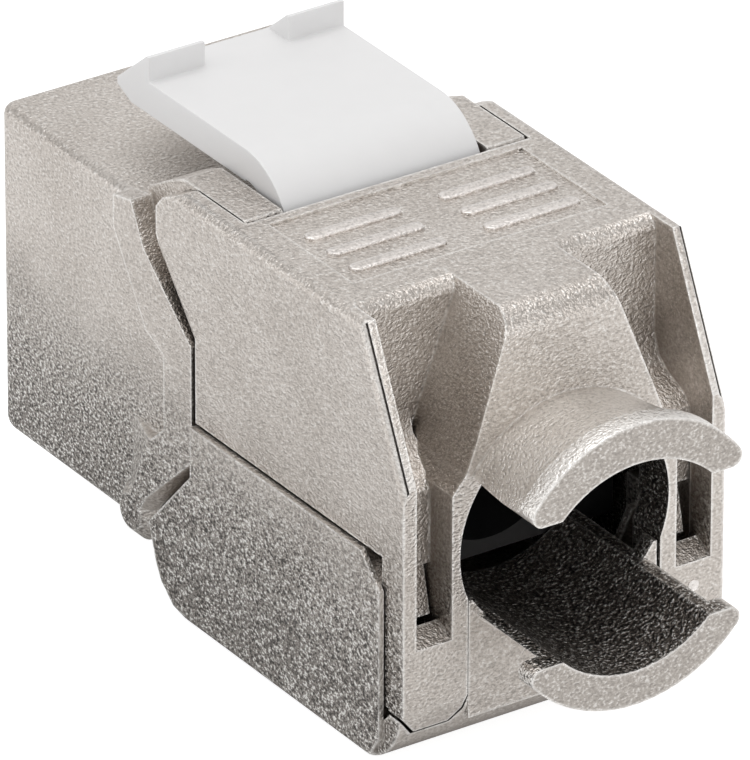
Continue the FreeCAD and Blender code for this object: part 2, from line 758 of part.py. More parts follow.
            bar = rectangle(start, front, end, front + " + bar_width")
            pad(body, "%s_bar_%d" % (side, number + 1), "XY", bar, floor, "door_top")
    return body


def lower_door():
    """The lower hinged shell: proud side panels, floor, hinge barrel, trough, half collar and teeth."""
    body = new_body("lower_door")
    barrel_half = "cheek_half_width - side_gap"
    skin_inner = "body_half_width + side_gap"
    toe = [
        ("panel_front", "panel_front_low"),
        ("panel_heel_y", "panel_heel_z"),
        ("panel_toe_y", "panel_toe_z"),
        ("panel_chin_y", "panel_chin_z"),
        ("panel_jaw_y", "panel_jaw_z"),
        ("panel_bottom_front", "-foot_depth"),
    ]
    panel = [("panel_front", "panel_top")] + toe + [
        ("apron_rear - panel_foot_rear - end_gap", "-foot_depth"),
        ("panel_rear - panel_corner / 2", "panel_corner / 4 - foot_depth"),
        ("panel_rear", "panel_corner - foot_depth"),
        ("panel_rear", "panel_top - panel_corner"),
        ("panel_rear - panel_corner", "panel_top"),
    ]
    base = [
        ("panel_bottom_front", "-foot_depth"),
        ("apron_rear", "-foot_depth"),
        ("apron_rear", "rear_wall_top"),
        ("apron_rear - apron_thickness", "rear_wall_top"),
        ("apron_rear - apron_thickness", "rear_corner_z"),
        ("rear_corner_y", "panel_floor - foot_depth"),
        ("panel_bottom_front", "panel_floor - foot_depth"),
    ]
    pad(body, "base", "YZ", base, "-(%s)" % skin_inner, skin_inner)
    soften(body, "rear_foot", "panel_foot_rear",
           lambda edge: along(edge, AXIS_X) and near(edge.CenterOfMass.y, "apron_rear")
           and near(edge.CenterOfMass.z, "-foot_depth"))
    above_foot = [
        ("apron_half_width", "leg_foot_corner - end_gap"),
        ("leg_inner + end_gap", "leg_foot_bend - end_gap"),
        ("leg_inner + leg_post - end_gap", "leg_foot - end_gap"),
        ("body_half_width - leg_side_toe + end_gap", "leg_foot - end_gap"),
        (skin_inner, "leg_side_foot - end_gap"),
        (skin_inner, "rear_wall_top + end_gap"),
        ("apron_half_width", "rear_wall_top + end_gap"),
    ]
    for side, outline in (("left", above_foot), ("right", [("-(%s)" % u, v) for u, v in above_foot])):
        pocket(body, side + "_foot_room", "XZ", outline, "rear_corner_y", "apron_rear + end_gap")
    swing = "lower_hinge_y + sqrt(wall_clear_radius^2 - (panel_top - lower_hinge_z)^2)"
    wall = [("panel_front", "panel_top")] + toe + [
        ("apron_rear - panel_foot_rear", "-foot_depth"),
        ("apron_rear - apron_thickness", "leg_foot - end_gap"),
        ("lower_hinge_y + wall_clear_radius", "leg_foot - end_gap"),
        ("lower_hinge_y + wall_clear_radius", "lower_hinge_z"),
        (swing, "panel_top"),
    ]
    for side, start, end in both_sides("wall_inner", skin_inner):
        pad(body, side + "_wall", "YZ", wall, start, end)
    for side, start, end in both_sides(skin_inner, "panel_half_width"):
        pad(body, side + "_panel", "YZ", panel, start, end)
    keel = [("panel_half_width - panel_edge_radius * (1 - cos(%d))" % angle,
             "panel_edge_radius * (1 - sin(%d)) - foot_depth" % angle) for angle in (0, 30, 60, 90)]
    keel += [
        ("panel_half_width - panel_edge_radius", "-foot_depth - end_gap"),
        ("panel_half_width + end_gap", "-foot_depth - end_gap"),
        ("panel_half_width + end_gap", "panel_edge_radius - foot_depth"),
    ]
    for side, outline in (("left", keel), ("right", [("-(%s)" % u, v) for u, v in keel])):
        pocket(body, side + "_keel", "XZ", outline, "panel_toe_y", "apron_rear + end_gap")
    bib = [("lower_hinge_y", "lower_hinge_z - barrel_radius")] + toe[2:] + [
        ("panel_bottom_front", "panel_floor - foot_depth"),
        ("panel_toe_y + panel_floor", "panel_toe_z + panel_floor / 2"),
        ("lower_hinge_y", "lower_hinge_z + barrel_radius"),
    ]
    pad(body, "bib", "YZ", bib, "-(%s)" % barrel_half, barrel_half)
    rod(body, "hinge_barrel", "YZ", LOWER_HINGE, "barrel_radius", "-(%s)" % barrel_half, barrel_half)
    for side, start, end in both_sides(barrel_half + " - end_gap", "cheek_half_width + pivot_length"):
        rod(body, side + "_pivot", "YZ", LOWER_HINGE, "pivot_radius", start, end)
    trough = [
        ("trough_front", "-collar_core"),
        ("collar_rear", "-collar_core"),
        ("collar_rear", "-lower_rim_radius"),
        ("collar_rear - flange_thickness", "-lower_rim_radius"),
        ("collar_rear - flange_thickness", "-trough_radius"),
        ("trough_front", "-trough_radius"),
    ]
    revolve(body, "trough", trough, "lower_rim_z", "collar_sweep")
    ends = rectangle("trough_front - end_gap", "lower_end", "collar_rear + end_gap", "lower_rim_z")
    pocket(body, "collar_ends", "YZ", ends, "-lower_rim_radius", "lower_rim_radius")
    soften(body, "collar_tips", "collar_tip_radius",
           lambda edge: along(edge, AXIS_Y) and near(edge.CenterOfMass.z, "lower_end")
           and edge.CenterOfMass.y > value("collar_rear - flange_thickness")
           and abs(edge.CenterOfMass.x) > value("lower_bore_radius"))
    brink = "sqrt(((lower_bore_radius + trough_radius) / 2)^2 - (lower_rim_z - %s)^2)"
    heights = ("lower_end", "(lower_end + apron_top) / 2", "apron_top")
    apron = mirrored([(brink % height, height) for height in heights]
                     + [("apron_half_width", "apron_top"), ("apron_half_width", "leg_foot - end_gap")])
    pad(body, "apron", "XZ", apron, "apron_rear - apron_thickness", "apron_rear")
    web = [
        ("web_inner", "web_low"),
        ("web_bend", "web_low"),
        ("web_shoulder", "web_top"),
        ("tooth_inner + end_gap", "web_top"),
        ("tooth_inner + end_gap", "panel_floor / 2 - foot_depth"),
        ("web_inner", "panel_floor / 2 - foot_depth"),
    ]
    for side, outline in (("left", web), ("right", [("-(%s)" % u, v) for u, v in web])):
        pad(body, side + "_web", "XZ", outline, "tooth_post_rear - web_thickness", "tooth_post_rear")
    rod(body, "cable_bore", "XZ", ("0", "lower_rim_z"), "lower_bore_radius",
        "trough_front - end_gap", "collar_rear + end_gap", cut=True)
    reach = "lower_hinge_y + sqrt(tooth_radius^2 - (%s - lower_hinge_z)^2)"
    tooth = [
        ("tooth_post_front", "panel_floor / 2 - foot_depth"),
        ("tooth_post_rear", "panel_floor / 2 - foot_depth"),
        ("tooth_post_rear", "tooth_low"),
        (reach % "tooth_low", "tooth_low"),
        (reach % "tooth_top", "tooth_top"),
        ("tooth_post_front", "tooth_top"),
    ]
    for side, start, end in both_sides("tooth_inner", "cheek_half_width"):
        pad(body, side + "_tooth", "YZ", tooth, start, end)
    return body


def port_insert():
    """The moulding inside the port: plug cavity with its latch notch, and slots for the contacts."""
    body = new_body("port_insert")
    half = "port_half_width - fit_gap"
    outer = rectangle("-(%s)" % half, "port_floor + fit_gap", half, "port_ceiling - fit_gap")
    pad(body, "moulding", "XZ", outer, "insert_front", "board_front")
    cavity = mirrored([
        ("plug_half_width", "plug_ceiling"),
        ("plug_half_width", "plug_floor"),
        ("notch_half_width", "plug_floor"),
        ("notch_half_width", "notch_floor"),
    ])
    pocket(body, "plug_cavity", "XZ", cavity, "insert_front - end_gap", "plug_depth")
    for number in range(8):
        middle = "(%d - 3.5) * contact_pitch" % number
        slot = rectangle(middle + " - contact_width / 2 - fit_gap", "contact_run - fit_gap",
                         middle + " + contact_width / 2 + fit_gap",
                         "contact_run + contact_thickness + fit_gap")
        pocket(body, "slot_%d" % (number + 1), "XZ", slot, "plug_depth - end_gap", "board_front + end_gap")
    recess = rectangle("spring_front - end_gap", "spring_low - fit_gap",
                       "spring_rear + end_gap", "spring_high + fit_gap")
    for side, start, end in both_sides("plug_half_width - end_gap", "plug_half_width + spring_recess"):
        pocket(body, side + "_recess", "YZ", recess, start, end)
    return body


def contact(number):
    """One port contact: a run under the cavity's roof that folds back down towards the plug."""
    body = new_body("contact_%d" % number)
    strip = [
        ("board_front", "contact_run + contact_thickness"),
        ("contact_bend_y", "contact_run + contact_thickness"),
        ("contact_tip_y", "contact_tip_z"),
        ("contact_tip_y", "contact_tip_z + 1.2 * contact_thickness"),
        ("contact_bend_y + 6 * contact_thickness", "contact_run"),
        ("board_front", "contact_run"),
    ]
    middle = "(%d - 4.5) * contact_pitch" % number
    pad(body, "strip", "YZ", strip, middle + " - contact_width / 2", middle + " + contact_width / 2")
    return body


def shield_spring(side, sign):
    """A bowed leaf beside the plug that meets its shield."""
    body = new_body("shield_spring_" + side)
    back = "plug_half_width + spring_recess - end_gap / 4"
    bow = [
        ("spring_front", "0"),
        ("spring_front + 6 * spring_thickness", "0"),
        ("(spring_front + spring_rear) / 2 - spring_bow * 2", "spring_bow"),
        ("(spring_front + spring_rear) / 2 + spring_bow * 2", "spring_bow"),
        ("spring_rear - 6 * spring_thickness", "0"),
        ("spring_rear", "0"),
    ]
    outside = [(sign + "(%s - (%s))" % (back, depth), along_y) for along_y, depth in bow]
    inside = [(sign + "(%s - (%s) - spring_thickness)" % (back, depth), along_y) for along_y, depth in bow]
    pad(body, "leaf", "XY", outside + inside[::-1], "spring_low", "spring_high")
    return body


def circuit_board():
    """The small board that joins the port contacts to the terminals."""
    body = new_body("circuit_board")
    outline = rectangle("-board_half_width", "board_low", "board_half_width", "board_high")
    pad(body, "board", "XZ", outline, "board_front", "board_front + board_thickness")
    return body


TERMINAL_ROWS = (
    ("block_high - tower_height", "block_high"),
    ("block_low", "block_low + tower_height"),
)
WIRE_GUIDES = (
    ("cable_axis", "manager_high + end_gap"),
    ("manager_low - end_gap", "cable_axis"),
)


def tower_places(rows):
    """Each terminal's number, its middle in X, and the low and high ends in Z that its row has."""
    for row, (low, high) in enumerate(rows):
        for column in range(4):
            yield row * 4 + column + 1, "(%d - 1.5) * tower_pitch" % column, low, high


def terminal_block():
    """The moulding behind the board, with a wire slot for each of the eight terminals."""
    body = new_body("terminal_block")
    outer = rectangle("-block_half_width", "block_low", "block_half_width", "block_high")
    pad(body, "moulding", "XZ", outer, "board_front + board_thickness", "block_rear")
    for number, middle, low, high in tower_places(TERMINAL_ROWS):
        slot = rectangle(middle + " - tower_slot / 2", low, middle + " + tower_slot / 2", high)
        pocket(body, "wire_slot_%d" % number, "XZ", slot, "block_rear - tower_depth", "block_rear + end_gap")
        centre = "(%s + %s) / 2" % (low, high)
        seat = rectangle(middle + " - blade_width / 2 - fit_gap", centre + " - blade_thickness / 2 - fit_gap",
                         middle + " + blade_width / 2 + fit_gap", centre + " + blade_thickness / 2 + fit_gap")
        pocket(body, "blade_slot_%d" % number, "XZ", seat, "board_front + board_thickness - end_gap",
               "block_rear + end_gap")
    return body


def terminal(number, middle, low, high):
    """One insulation-displacement terminal: a forked blade standing on the board."""
    body = new_body("idc_contact_%d" % number)
    foot = "board_front + board_thickness"
    half = [
        ("blade_width / 2", foot),
        ("blade_width / 2", "blade_rear"),
        ("blade_slot", "blade_rear"),
        ("blade_slot / 4", "blade_rear - 2 * blade_slot"),
        ("blade_slot / 4", "block_rear - tower_depth"),
    ]
    outline = [("%s + %s" % (middle, u), v) for u, v in half]
    outline += [("%s - %s" % (middle, u), v) for u, v in reversed(half)]
    centre = "(%s + %s) / 2" % (low, high)
    pad(body, "blade", "XY", outline, centre + " - blade_thickness / 2", centre + " + blade_thickness / 2")
    return body


def wire_manager():
    """The black cap that lays the eight wires over the terminals and passes the cable."""
    body = new_body("wire_manager")
    edge = "block_half_width - end_gap"
    outer = rectangle("-(%s)" % edge, "manager_low", edge, "manager_high")
    pad(body, "cap", "XZ", outer, "block_rear", "manager_rear")
    rod(body, "cable_entry", "XZ", ("0", "cable_axis"), "manager_bore",
        "block_rear + manager_wall", "manager_rear + end_gap", cut=True)
    for number, middle, low, high in tower_places(WIRE_GUIDES):
        guide = rectangle(middle + " - tower_slot / 2", low, middle + " + tower_slot / 2", high)
        pocket(body, "guide_%d" % number, "XZ", guide, "block_rear + manager_wall",
               "block_rear + 2 * manager_wall")
    return body


PIECES = [front_housing(), latch(), upper_door(), lower_door(), port_insert(), circuit_board(),
          terminal_block(), wire_manager(), shield_spring("left", ""), shield_spring("right", "-")]
PIECES += [contact(number) for number in range(1, 9)]
PIECES += [terminal(*place) for place in tower_places(TERMINAL_ROWS)]
doc.recompute()
for item in doc.Objects:
    if "Invalid" in item.State or "Error" in item.State:
        raise RuntimeError("%s: %s" % (item.Name, item.State))
for piece in PIECES:
    if piece.Shape.isNull() or not piece.Shape.isValid():
        raise RuntimeError("%s has no sound shape" % piece.Label)
os.makedirs("parts", exist_ok=True)
for piece in PIECES:
    piece.Shape.exportStep("parts/%s.step" % piece.Label)
    print(piece.Label, len(piece.Shape.Solids), round(piece.Shape.Volume, 2), piece.Shape.BoundBox)
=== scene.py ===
# %% [markdown]
# # Dressing a keystone jack
# The jack is a metal casting in three parts: a block that holds the socket, and two hinged shells that
# close behind it like a pair of jaws. A white plastic latch lies on top. The solids are already right in
# size, so this lesson gives them softened edges, a cast metal skin, and the light of a small studio.

# %% Load the fixed frame
import math
import bmesh
import bpy
from mathutils import Matrix, Vector


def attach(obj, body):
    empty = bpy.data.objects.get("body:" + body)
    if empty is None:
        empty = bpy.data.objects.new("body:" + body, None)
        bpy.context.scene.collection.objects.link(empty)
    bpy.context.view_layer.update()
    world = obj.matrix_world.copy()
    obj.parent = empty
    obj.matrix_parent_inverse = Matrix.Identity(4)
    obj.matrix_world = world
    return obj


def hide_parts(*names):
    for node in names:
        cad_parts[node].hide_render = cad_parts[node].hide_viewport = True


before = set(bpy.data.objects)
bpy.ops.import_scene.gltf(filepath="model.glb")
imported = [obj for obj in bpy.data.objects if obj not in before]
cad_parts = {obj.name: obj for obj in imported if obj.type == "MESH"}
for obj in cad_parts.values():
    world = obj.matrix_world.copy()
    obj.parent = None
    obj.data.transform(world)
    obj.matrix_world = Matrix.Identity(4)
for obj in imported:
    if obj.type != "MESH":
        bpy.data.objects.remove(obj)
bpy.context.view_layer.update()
MM = 0.001

# %% [markdown]
# ## The camera
# The photograph was taken from far off with a long lens, from above and behind, where the jack's round
# mouth is. The camera could be aimed by hand, but an eye point, a sight line and a level line fix it in
# one step. The small shift slides the picture on the film, which moves the frame without turning the
# lines.

# %% Place the camera
EYE = Vector((270.921, 402.961, 267.882)) * MM
SIGHT = Vector((-0.49177213, -0.7343086, -0.46792205))
RIGHTWARDS = Vector((-0.83124654, 0.55590255, 0.00123922))
FRAME_WIDTH = 750
FRAME_HEIGHT = 760
FOCAL_PIXELS = 13160.454
SENSOR_MM = 36.0
CENTRE_RIGHT = -10.333
CENTRE_DOWN = -8.858
NEAREST_SEEN = 0.01
FARTHEST_SEEN = 10.0

camera_data = bpy.data.cameras.new("studio_camera")
camera = bpy.data.objects.new("studio_camera", camera_data)
bpy.context.scene.collection.objects.link(camera)
upwards = RIGHTWARDS.cross(SIGHT)
turn = Matrix((RIGHTWARDS, upwards, -SIGHT)).transposed()
camera.matrix_world = Matrix.Translation(EYE) @ turn.to_4x4()
long_side = max(FRAME_WIDTH, FRAME_HEIGHT)
camera_data.sensor_width = SENSOR_MM
camera_data.lens = FOCAL_PIXELS / long_side * SENSOR_MM
camera_data.shift_x = -CENTRE_RIGHT / long_side
camera_data.shift_y = CENTRE_DOWN / long_side
camera_data.clip_start = NEAREST_SEEN
camera_data.clip_end = FARTHEST_SEEN
camera_data.dof.use_dof = False
bpy.context.scene.camera = camera
print("lens", round(camera_data.lens, 1), "mm, eye", [round(v / MM, 1) for v in camera.location])

# %% [markdown]
# ## Choosing what to shape
# An operator works on all that is selected, so each step starts with nothing selected and then picks its
# points, edges or faces by a test of their place or their normal. Picking by number would be shorter, but
# the numbers change when a solid is packed again, and places don't.


# %% Helpers: select one piece, and parts of it
def deselect():
    """Leave object mode's selection empty."""
    bpy.ops.object.select_all(action="DESELECT")
    bpy.context.view_layer.objects.active = None


def work_on(piece):
    """Make one piece the only one selected and the active one."""
    deselect()
    piece.select_set(True)
    bpy.context.view_layer.objects.active = piece


def choose(piece, kind, test):
    """Select the points, edges or faces of a piece that pass a test, and stay in edit mode."""
    work_on(piece)
    bpy.ops.object.mode_set(mode="EDIT")
    bpy.ops.mesh.select_mode(type=kind)
    bpy.ops.mesh.select_all(action="DESELECT")
    bpy.ops.object.mode_set(mode="OBJECT")
    shape = piece.data
    items = {"VERT": shape.vertices, "EDGE": shape.edges, "FACE": shape.polygons}[kind]
    for item in items:
        item.select = bool(test(item))
    found = sum(item.select for item in items)
    bpy.ops.object.mode_set(mode="EDIT")
    return found


deselect()
print("selected", len(bpy.context.selected_objects))

# %% [markdown]
# ## Working on copies
# A solid from the frame is never changed. Its mesh is loose triangles, so a copy is merged where its
# corners meet, and the cuts across its flat faces are dissolved. What is left has one face for each
# flat side, which is what a bevel needs.

# %% Helper: copy a solid
MERGE_WITHIN = 0.002 * MM
FLAT_WITHIN = math.radians(0.5)


def merged_copy(node, name):
    """A copy of a solid's mesh with its corners merged and its flat faces whole."""
    piece = bpy.data.objects.new(name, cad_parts[node].data.copy())
    bpy.context.scene.collection.objects.link(piece)
    loose = len(piece.data.vertices)
    work_on(piece)
    bpy.ops.object.mode_set(mode="EDIT")
    bpy.ops.mesh.select_all(action="SELECT")
    bpy.ops.mesh.remove_doubles(threshold=MERGE_WITHIN)
    bpy.ops.mesh.dissolve_limited(angle_limit=FLAT_WITHIN)
    bpy.ops.object.mode_set(mode="OBJECT")
    print(name, "points", loose, "merged to", len(piece.data.vertices))
    return piece


print("corners are merged within", MERGE_WITHIN / MM, "mm")

# %% [markdown]
# ## Soft edges
# A tumbled casting has no keen edge: the finer the edge, the rounder it wears. One bevel for the whole
# piece would either be too small for the rim or eat up the narrow faces. So each edge gets its own
# weight, no wider than a third of the room beside it, and a single Bevel modifier rounds them all. It
# also gives its new faces a second material number. That number is turned into an attribute, which the
# metal reads later to paint the outer edges bright, as wear and as a painted highlight, and the inner
# ones not.

# %% Helper: measure the room beside an edge
ALONGSIDE = 0.8
PLENTY = 1.0


def room_beside(edge):
    """How long the shortest side edge is that a bevel of this edge would run along."""
    along = (edge.verts[1].co - edge.verts[0].co).normalized()
    room = PLENTY
    for vertex in edge.verts:
        for other in vertex.link_edges:
            if other is edge or not set(other.link_faces) & set(edge.link_faces):
                continue
            way = (other.other_vert(vertex).co - vertex.co).normalized()
            if abs(way.dot(along)) < ALONGSIDE:
                room = min(room, other.calc_length())
    return room


print("side edges count when they leave at", round(math.degrees(math.acos(ALONGSIDE))), "degrees or more")

# %% Helper: mark the outer edges that are painted bright
BEVEL_NUMBER = 1


def mark_bright_edges(piece):
    """Keep, as an attribute of the mesh, which of the bevel's faces lie on outer edges."""
    shape = bmesh.new()
    shape.from_mesh(piece.data)
    wear_and_sheen = []
    for face in shape.faces:
        turned = sum(edge.calc_face_angle_signed(0.0) for edge in face.edges)
        outer = face.material_index == BEVEL_NUMBER and turned > 0.0
        wear_and_sheen.append(1.0 if outer else 0.0)
    shape.free()
    piece.data.attributes.new("wear_and_sheen", "FLOAT", "FACE").data.foreach_set("value", wear_and_sheen)
    piece.data.polygons.foreach_set("material_index", [0] * len(wear_and_sheen))
    print("  worn faces", int(sum(wear_and_sheen)), "of", len(wear_and_sheen))


print("the bevel's faces get material number", BEVEL_NUMBER)

# %% Helper: round the sharp edges
SHARP_FROM = math.radians(38.0)
SMOOTH_BELOW = math.radians(35.0)
ROOM_SHARE = 0.35
BEVEL_SEGMENTS = 3


def edge_radii(piece, radius_of):
    """The radius that each edge gets, which is nothing where the faces hardly turn."""
    shape = bmesh.new()
    shape.from_mesh(piece.data)
    radii = []
    for edge in shape.edges:
        keen = len(edge.link_faces) == 2 and edge.calc_face_angle() > SHARP_FROM
        radii.append(min(radius_of(edge), ROOM_SHARE * room_beside(edge)) if keen else 0.0)
    shape.free()
    return radii


def soften_edges(piece, radius_of):
    """Round the sharp edges by the radius wanted for each, or by less where a face is narrow."""
    radii = edge_radii(piece, radius_of)
    widest = max(radii)
    shares = [radius / widest for radius in radii]
    weights = piece.data.attributes.new("bevel_weight_edge", "FLOAT", "EDGE")
    weights.data.foreach_set("value", shares)
    work_on(piece)
    piece.data.materials.append(None)
    bevel = piece.modifiers.new("edges", "BEVEL")
    bevel.material = BEVEL_NUMBER
    bevel.width = widest
    bevel.segments = BEVEL_SEGMENTS
    bevel.limit_method = "WEIGHT"
    bevel.use_clamp_overlap = True
    bevel.miter_outer = "MITER_ARC"
    bpy.ops.object.modifier_apply(modifier=bevel.name)
    mark_bright_edges(piece)
    bpy.ops.object.shade_smooth_by_angle(angle=SMOOTH_BELOW)
    weighted = piece.modifiers.new("flats", "WEIGHTED_NORMAL")
    weighted.keep_sharp = True
    bpy.ops.object.modifier_apply(modifier=weighted.name)
    print("  rounded edges", sum(share > 0.0 for share in shares), "widest mm", round(widest / MM, 3))


print("edges are rounded from", round(math.degrees(SHARP_FROM)), "degrees")

# %% [markdown]
# ## Wiring nodes from code
# A material is a web of small nodes. Wired by hand in the editor it is easy to see but slow to change, so
# a few helpers place the nodes that come back all the time: a sum, a noise, a stretch of values, and a
# mix of two colours. What more than one metal uses is built once as a group with named sockets.


# %% Helpers: groups and nodes
def new_group(name, inputs, outputs):
    """An empty shader group with named sockets. All its outputs are numbers."""
    group = bpy.data.node_groups.new(name, "ShaderNodeTree")
    for label, kind, default in inputs:
        socket = group.interface.new_socket(name=label, in_out="INPUT", socket_type=kind)
        if default is not None:
            socket.default_value = default
    for label in outputs:
        group.interface.new_socket(name=label, in_out="OUTPUT", socket_type="NodeSocketFloat")
    return group, group.nodes.new("NodeGroupInput"), group.nodes.new("NodeGroupOutput")


def maths(tree, operation, *items, clamp=False):
    """A math node whose inputs are sockets or numbers."""
    node = tree.nodes.new("ShaderNodeMath")
    node.operation = operation
    node.use_clamp = clamp
    for index, item in enumerate(items):
        if isinstance(item, (int, float)):
            node.inputs[index].default_value = item
        else:
            tree.links.new(item, node.inputs[index])
    return node.outputs[0]


def times(tree, first, second):
    """The product of two sockets or numbers."""
    return maths(tree, "MULTIPLY", first, second)


def noise(tree, place, scale, detail=2.0, roughness=0.5):
    """A noise texture read at a place."""
    node = tree.nodes.new("ShaderNodeTexNoise")
    node.inputs["Scale"].default_value = scale
    node.inputs["Detail"].default_value = detail
    node.inputs["Roughness"].default_value = roughness
    tree.links.new(place, node.inputs["Vector"])
    return node.outputs["Fac"]


def stretch(tree, socket, low, high, to_low=0.0, to_high=1.0):
    """Map a stretch of values to another, and hold it there."""
    node = tree.nodes.new("ShaderNodeMapRange")
    node.inputs["From Min"].default_value = low
    node.inputs["From Max"].default_value = high
    node.inputs["To Min"].default_value = to_low
    node.inputs["To Max"].default_value = to_high
    tree.links.new(socket, node.inputs["Value"])
    return node.outputs["Result"]


def mixed(tree, share, first, second):
    """Two colours mixed by a share. Each is a socket or a colour."""
    node = tree.nodes.new("ShaderNodeMix")
    node.data_type = "RGBA"
    tree.links.new(share, node.inputs["Factor"])
    for socket, item in ((node.inputs["A"], first), (node.inputs["B"], second)):
        if isinstance(item, tuple):
            socket.default_value = (*item, 1.0)
        else:
            tree.links.new(item, socket)
    return node.outputs["Result"]


print("node groups so far", len(bpy.data.node_groups))

# %% [markdown]
# ## The cast grain
# Zinc that has been cast and tumbled is covered with pebbles about a sixth of a millimetre wide, with a
# finer tooth on them. Crests catch the light and pits lie in shade. A noise texture could drive the bump
# alone, but then crests and pits would shine alike. So one height is made from two noises, and four
# masks are cut from the same height: soft crests and pits for the plain faces, and hard sparks and holes
# for the rugged ones. The metal paints these masks into its colour: painted glints on the crests and
# painted shade in the pits. A much slower noise makes the colour a little cloudy.

# %% Group: cast grain
PEBBLE_SCALE = 6200.0
TOOTH_SCALE = 11000.0
PEBBLE_SHARE = 0.6
TOOTH_SHARE = 0.4
PEBBLE_SQUEEZE = (1.0, 1.0, 1.3)
CLOUD_SCALE = 260.0
# Glint and Spark mark crests for painted glints, Pit and Hole mark pits for painted shade
GRAIN_MASKS = {
    "Glint": (0.53, 0.66),
    "Pit": (0.49, 0.36),
    "Spark": (0.55, 0.60),
    "Hole": (0.47, 0.41),
}


def slow_cloud(tree, place):
    """The slow noise that colour and staining share."""
    return noise(tree, place, CLOUD_SCALE, 3.0, 0.6)


def build_cast_grain():
    """Height of a tumbled casting, its crests and pits, and a slow cloudiness."""
    group, source, sink = new_group(
        "cast_grain",
        [("Vector", "NodeSocketVector", None), ("Size", "NodeSocketFloat", 1.0)],
        ["Height", *GRAIN_MASKS, "Cloud"])
    squeezed = group.nodes.new("ShaderNodeMapping")
    squeezed.inputs["Scale"].default_value = PEBBLE_SQUEEZE
    group.links.new(source.outputs["Vector"], squeezed.inputs["Vector"])
    scaled = group.nodes.new("ShaderNodeVectorMath")
    scaled.operation = "SCALE"
    group.links.new(squeezed.outputs["Vector"], scaled.inputs[0])
    group.links.new(source.outputs["Size"], scaled.inputs["Scale"])
    place = scaled.outputs["Vector"]
    pebbles = times(group, noise(group, place, PEBBLE_SCALE, 1.0, 0.4), PEBBLE_SHARE)
    tooth = times(group, noise(group, place, TOOTH_SCALE, 1.0, 0.5), TOOTH_SHARE)
    height = maths(group, "ADD", pebbles, tooth)
    group.links.new(height, sink.inputs["Height"])
    for label, (empty, full) in GRAIN_MASKS.items():
        group.links.new(stretch(group, height, empty, full), sink.inputs[label])
    cloud = slow_cloud(group, source.outputs["Vector"])
    group.links.new(stretch(group, cloud, 0.35, 0.65), sink.inputs["Cloud"])
    return group


CAST_GRAIN = build_cast_grain()
print("group", CAST_GRAIN.name, "has", len(CAST_GRAIN.nodes), "nodes")

# %% [markdown]
# ## Where the casting is dark or bright
# The metal isn't the same all over. Low on the flanks it is rugged and carries painted shade, and so
# does the inside of the round mouth. The collar round the mouth carries a painted sheen, and the flange's
# end faces carry painted shade. These zones could be painted on by hand, but places don't move when a
# mesh is made again, so each zone is a mask of where a point lies and which way its face looks. Distance
# from the mouth's axis comes from a Mapping node that makes the length along the axis count for nearly
# nothing.

# %% Group: casting zones
FLANK_TURN = (0.6, 0.95)
LOW_HEIGHTS = (13.5 * MM, 4.5 * MM)
LOW_RAGGED = 3.0 * MM
MOUTH_CENTRE = (0.0, 0.0, 9.4 * MM)
ALONG_AXIS = (1.0, 1000.0, 1.0)
BORE_REACH = (5.6 * MM, 5.3 * MM)
BORE_TURN = (-0.2, -0.6)
BORE_START = (3.0 * MM, 5.0 * MM)
COLLAR_REACH = (7.8 * MM, 7.4 * MM)
COLLAR_TURN = (0.2, 0.7)
COLLAR_START = (13.0 * MM, 13.6 * MM)
FLANGE_END = (18.0 * MM, 18.3 * MM)
FLANGE_TURN = (0.8, 0.95)


def vector_value(tree, operation, first, second=None):
    """A vector math node that puts out a number."""
    node = tree.nodes.new("ShaderNodeVectorMath")
    node.operation = operation
    tree.links.new(first, node.inputs[0])
    if second is not None:
        tree.links.new(second, node.inputs[1])
    return node.outputs["Value"]


def split(tree, vector):
    """The three parts of a vector."""
    node = tree.nodes.new("ShaderNodeSeparateXYZ")
    tree.links.new(vector, node.inputs["Vector"])
    return node.outputs


def build_casting_zones():
    """Masks for painted shade on the low flanks, bore and flange ends, and painted sheen on the collar.
    """
    group, source, sink = new_group(
        "casting_zones",
        [("Vector", "NodeSocketVector", None)],
        ["Low", "Bore", "Collar", "EndShade"])
    place = source.outputs["Vector"]
    axes = split(group, place)
    facing = group.nodes.new("ShaderNodeTexCoord").outputs["Normal"]
    normal = split(group, facing)

    # painted shade low on the flanks: darker downwards on faces that look sideways
    ragged = times(group, slow_cloud(group, place), LOW_RAGGED)
    height = maths(group, "ADD", axes["Z"], ragged)
    sideways = maths(group, "ABSOLUTE", normal["X"])
    flank = stretch(group, sideways, *FLANK_TURN)
    low = times(group, flank, stretch(group, height, *LOW_HEIGHTS))
    group.links.new(low, sink.inputs["Low"])

    spoke = group.nodes.new("ShaderNodeMapping")
    spoke.vector_type = "TEXTURE"
    spoke.inputs["Location"].default_value = MOUTH_CENTRE
    spoke.inputs["Scale"].default_value = ALONG_AXIS
    group.links.new(place, spoke.inputs["Vector"])
    away = vector_value(group, "LENGTH", spoke.outputs["Vector"])
    outwards = vector_value(group, "DOT_PRODUCT", spoke.outputs["Vector"], facing)
    turned = maths(group, "DIVIDE", outwards, away)

    # painted shade inside the mouth
    bore = times(group, stretch(group, away, *BORE_REACH), stretch(group, turned, *BORE_TURN))
    bore = times(group, bore, stretch(group, axes["Y"], *BORE_START))
    group.links.new(bore, sink.inputs["Bore"])
    # painted sheen on the collar round the mouth
    ring = times(group, stretch(group, axes["Y"], *COLLAR_START), stretch(group, away, *COLLAR_REACH))
    collar = times(group, ring, stretch(group, turned, *COLLAR_TURN))
    group.links.new(collar, sink.inputs["Collar"])
    # painted shade on the flange's end faces
    end = stretch(group, axes["Y"], *FLANGE_END)
    group.links.new(times(group, end, stretch(group, normal["Y"], *FLANGE_TURN)), sink.inputs["EndShade"])
    return group


CASTING_ZONES = build_casting_zones()
print("group", CASTING_ZONES.name, "has", len(CASTING_ZONES.nodes), "nodes")
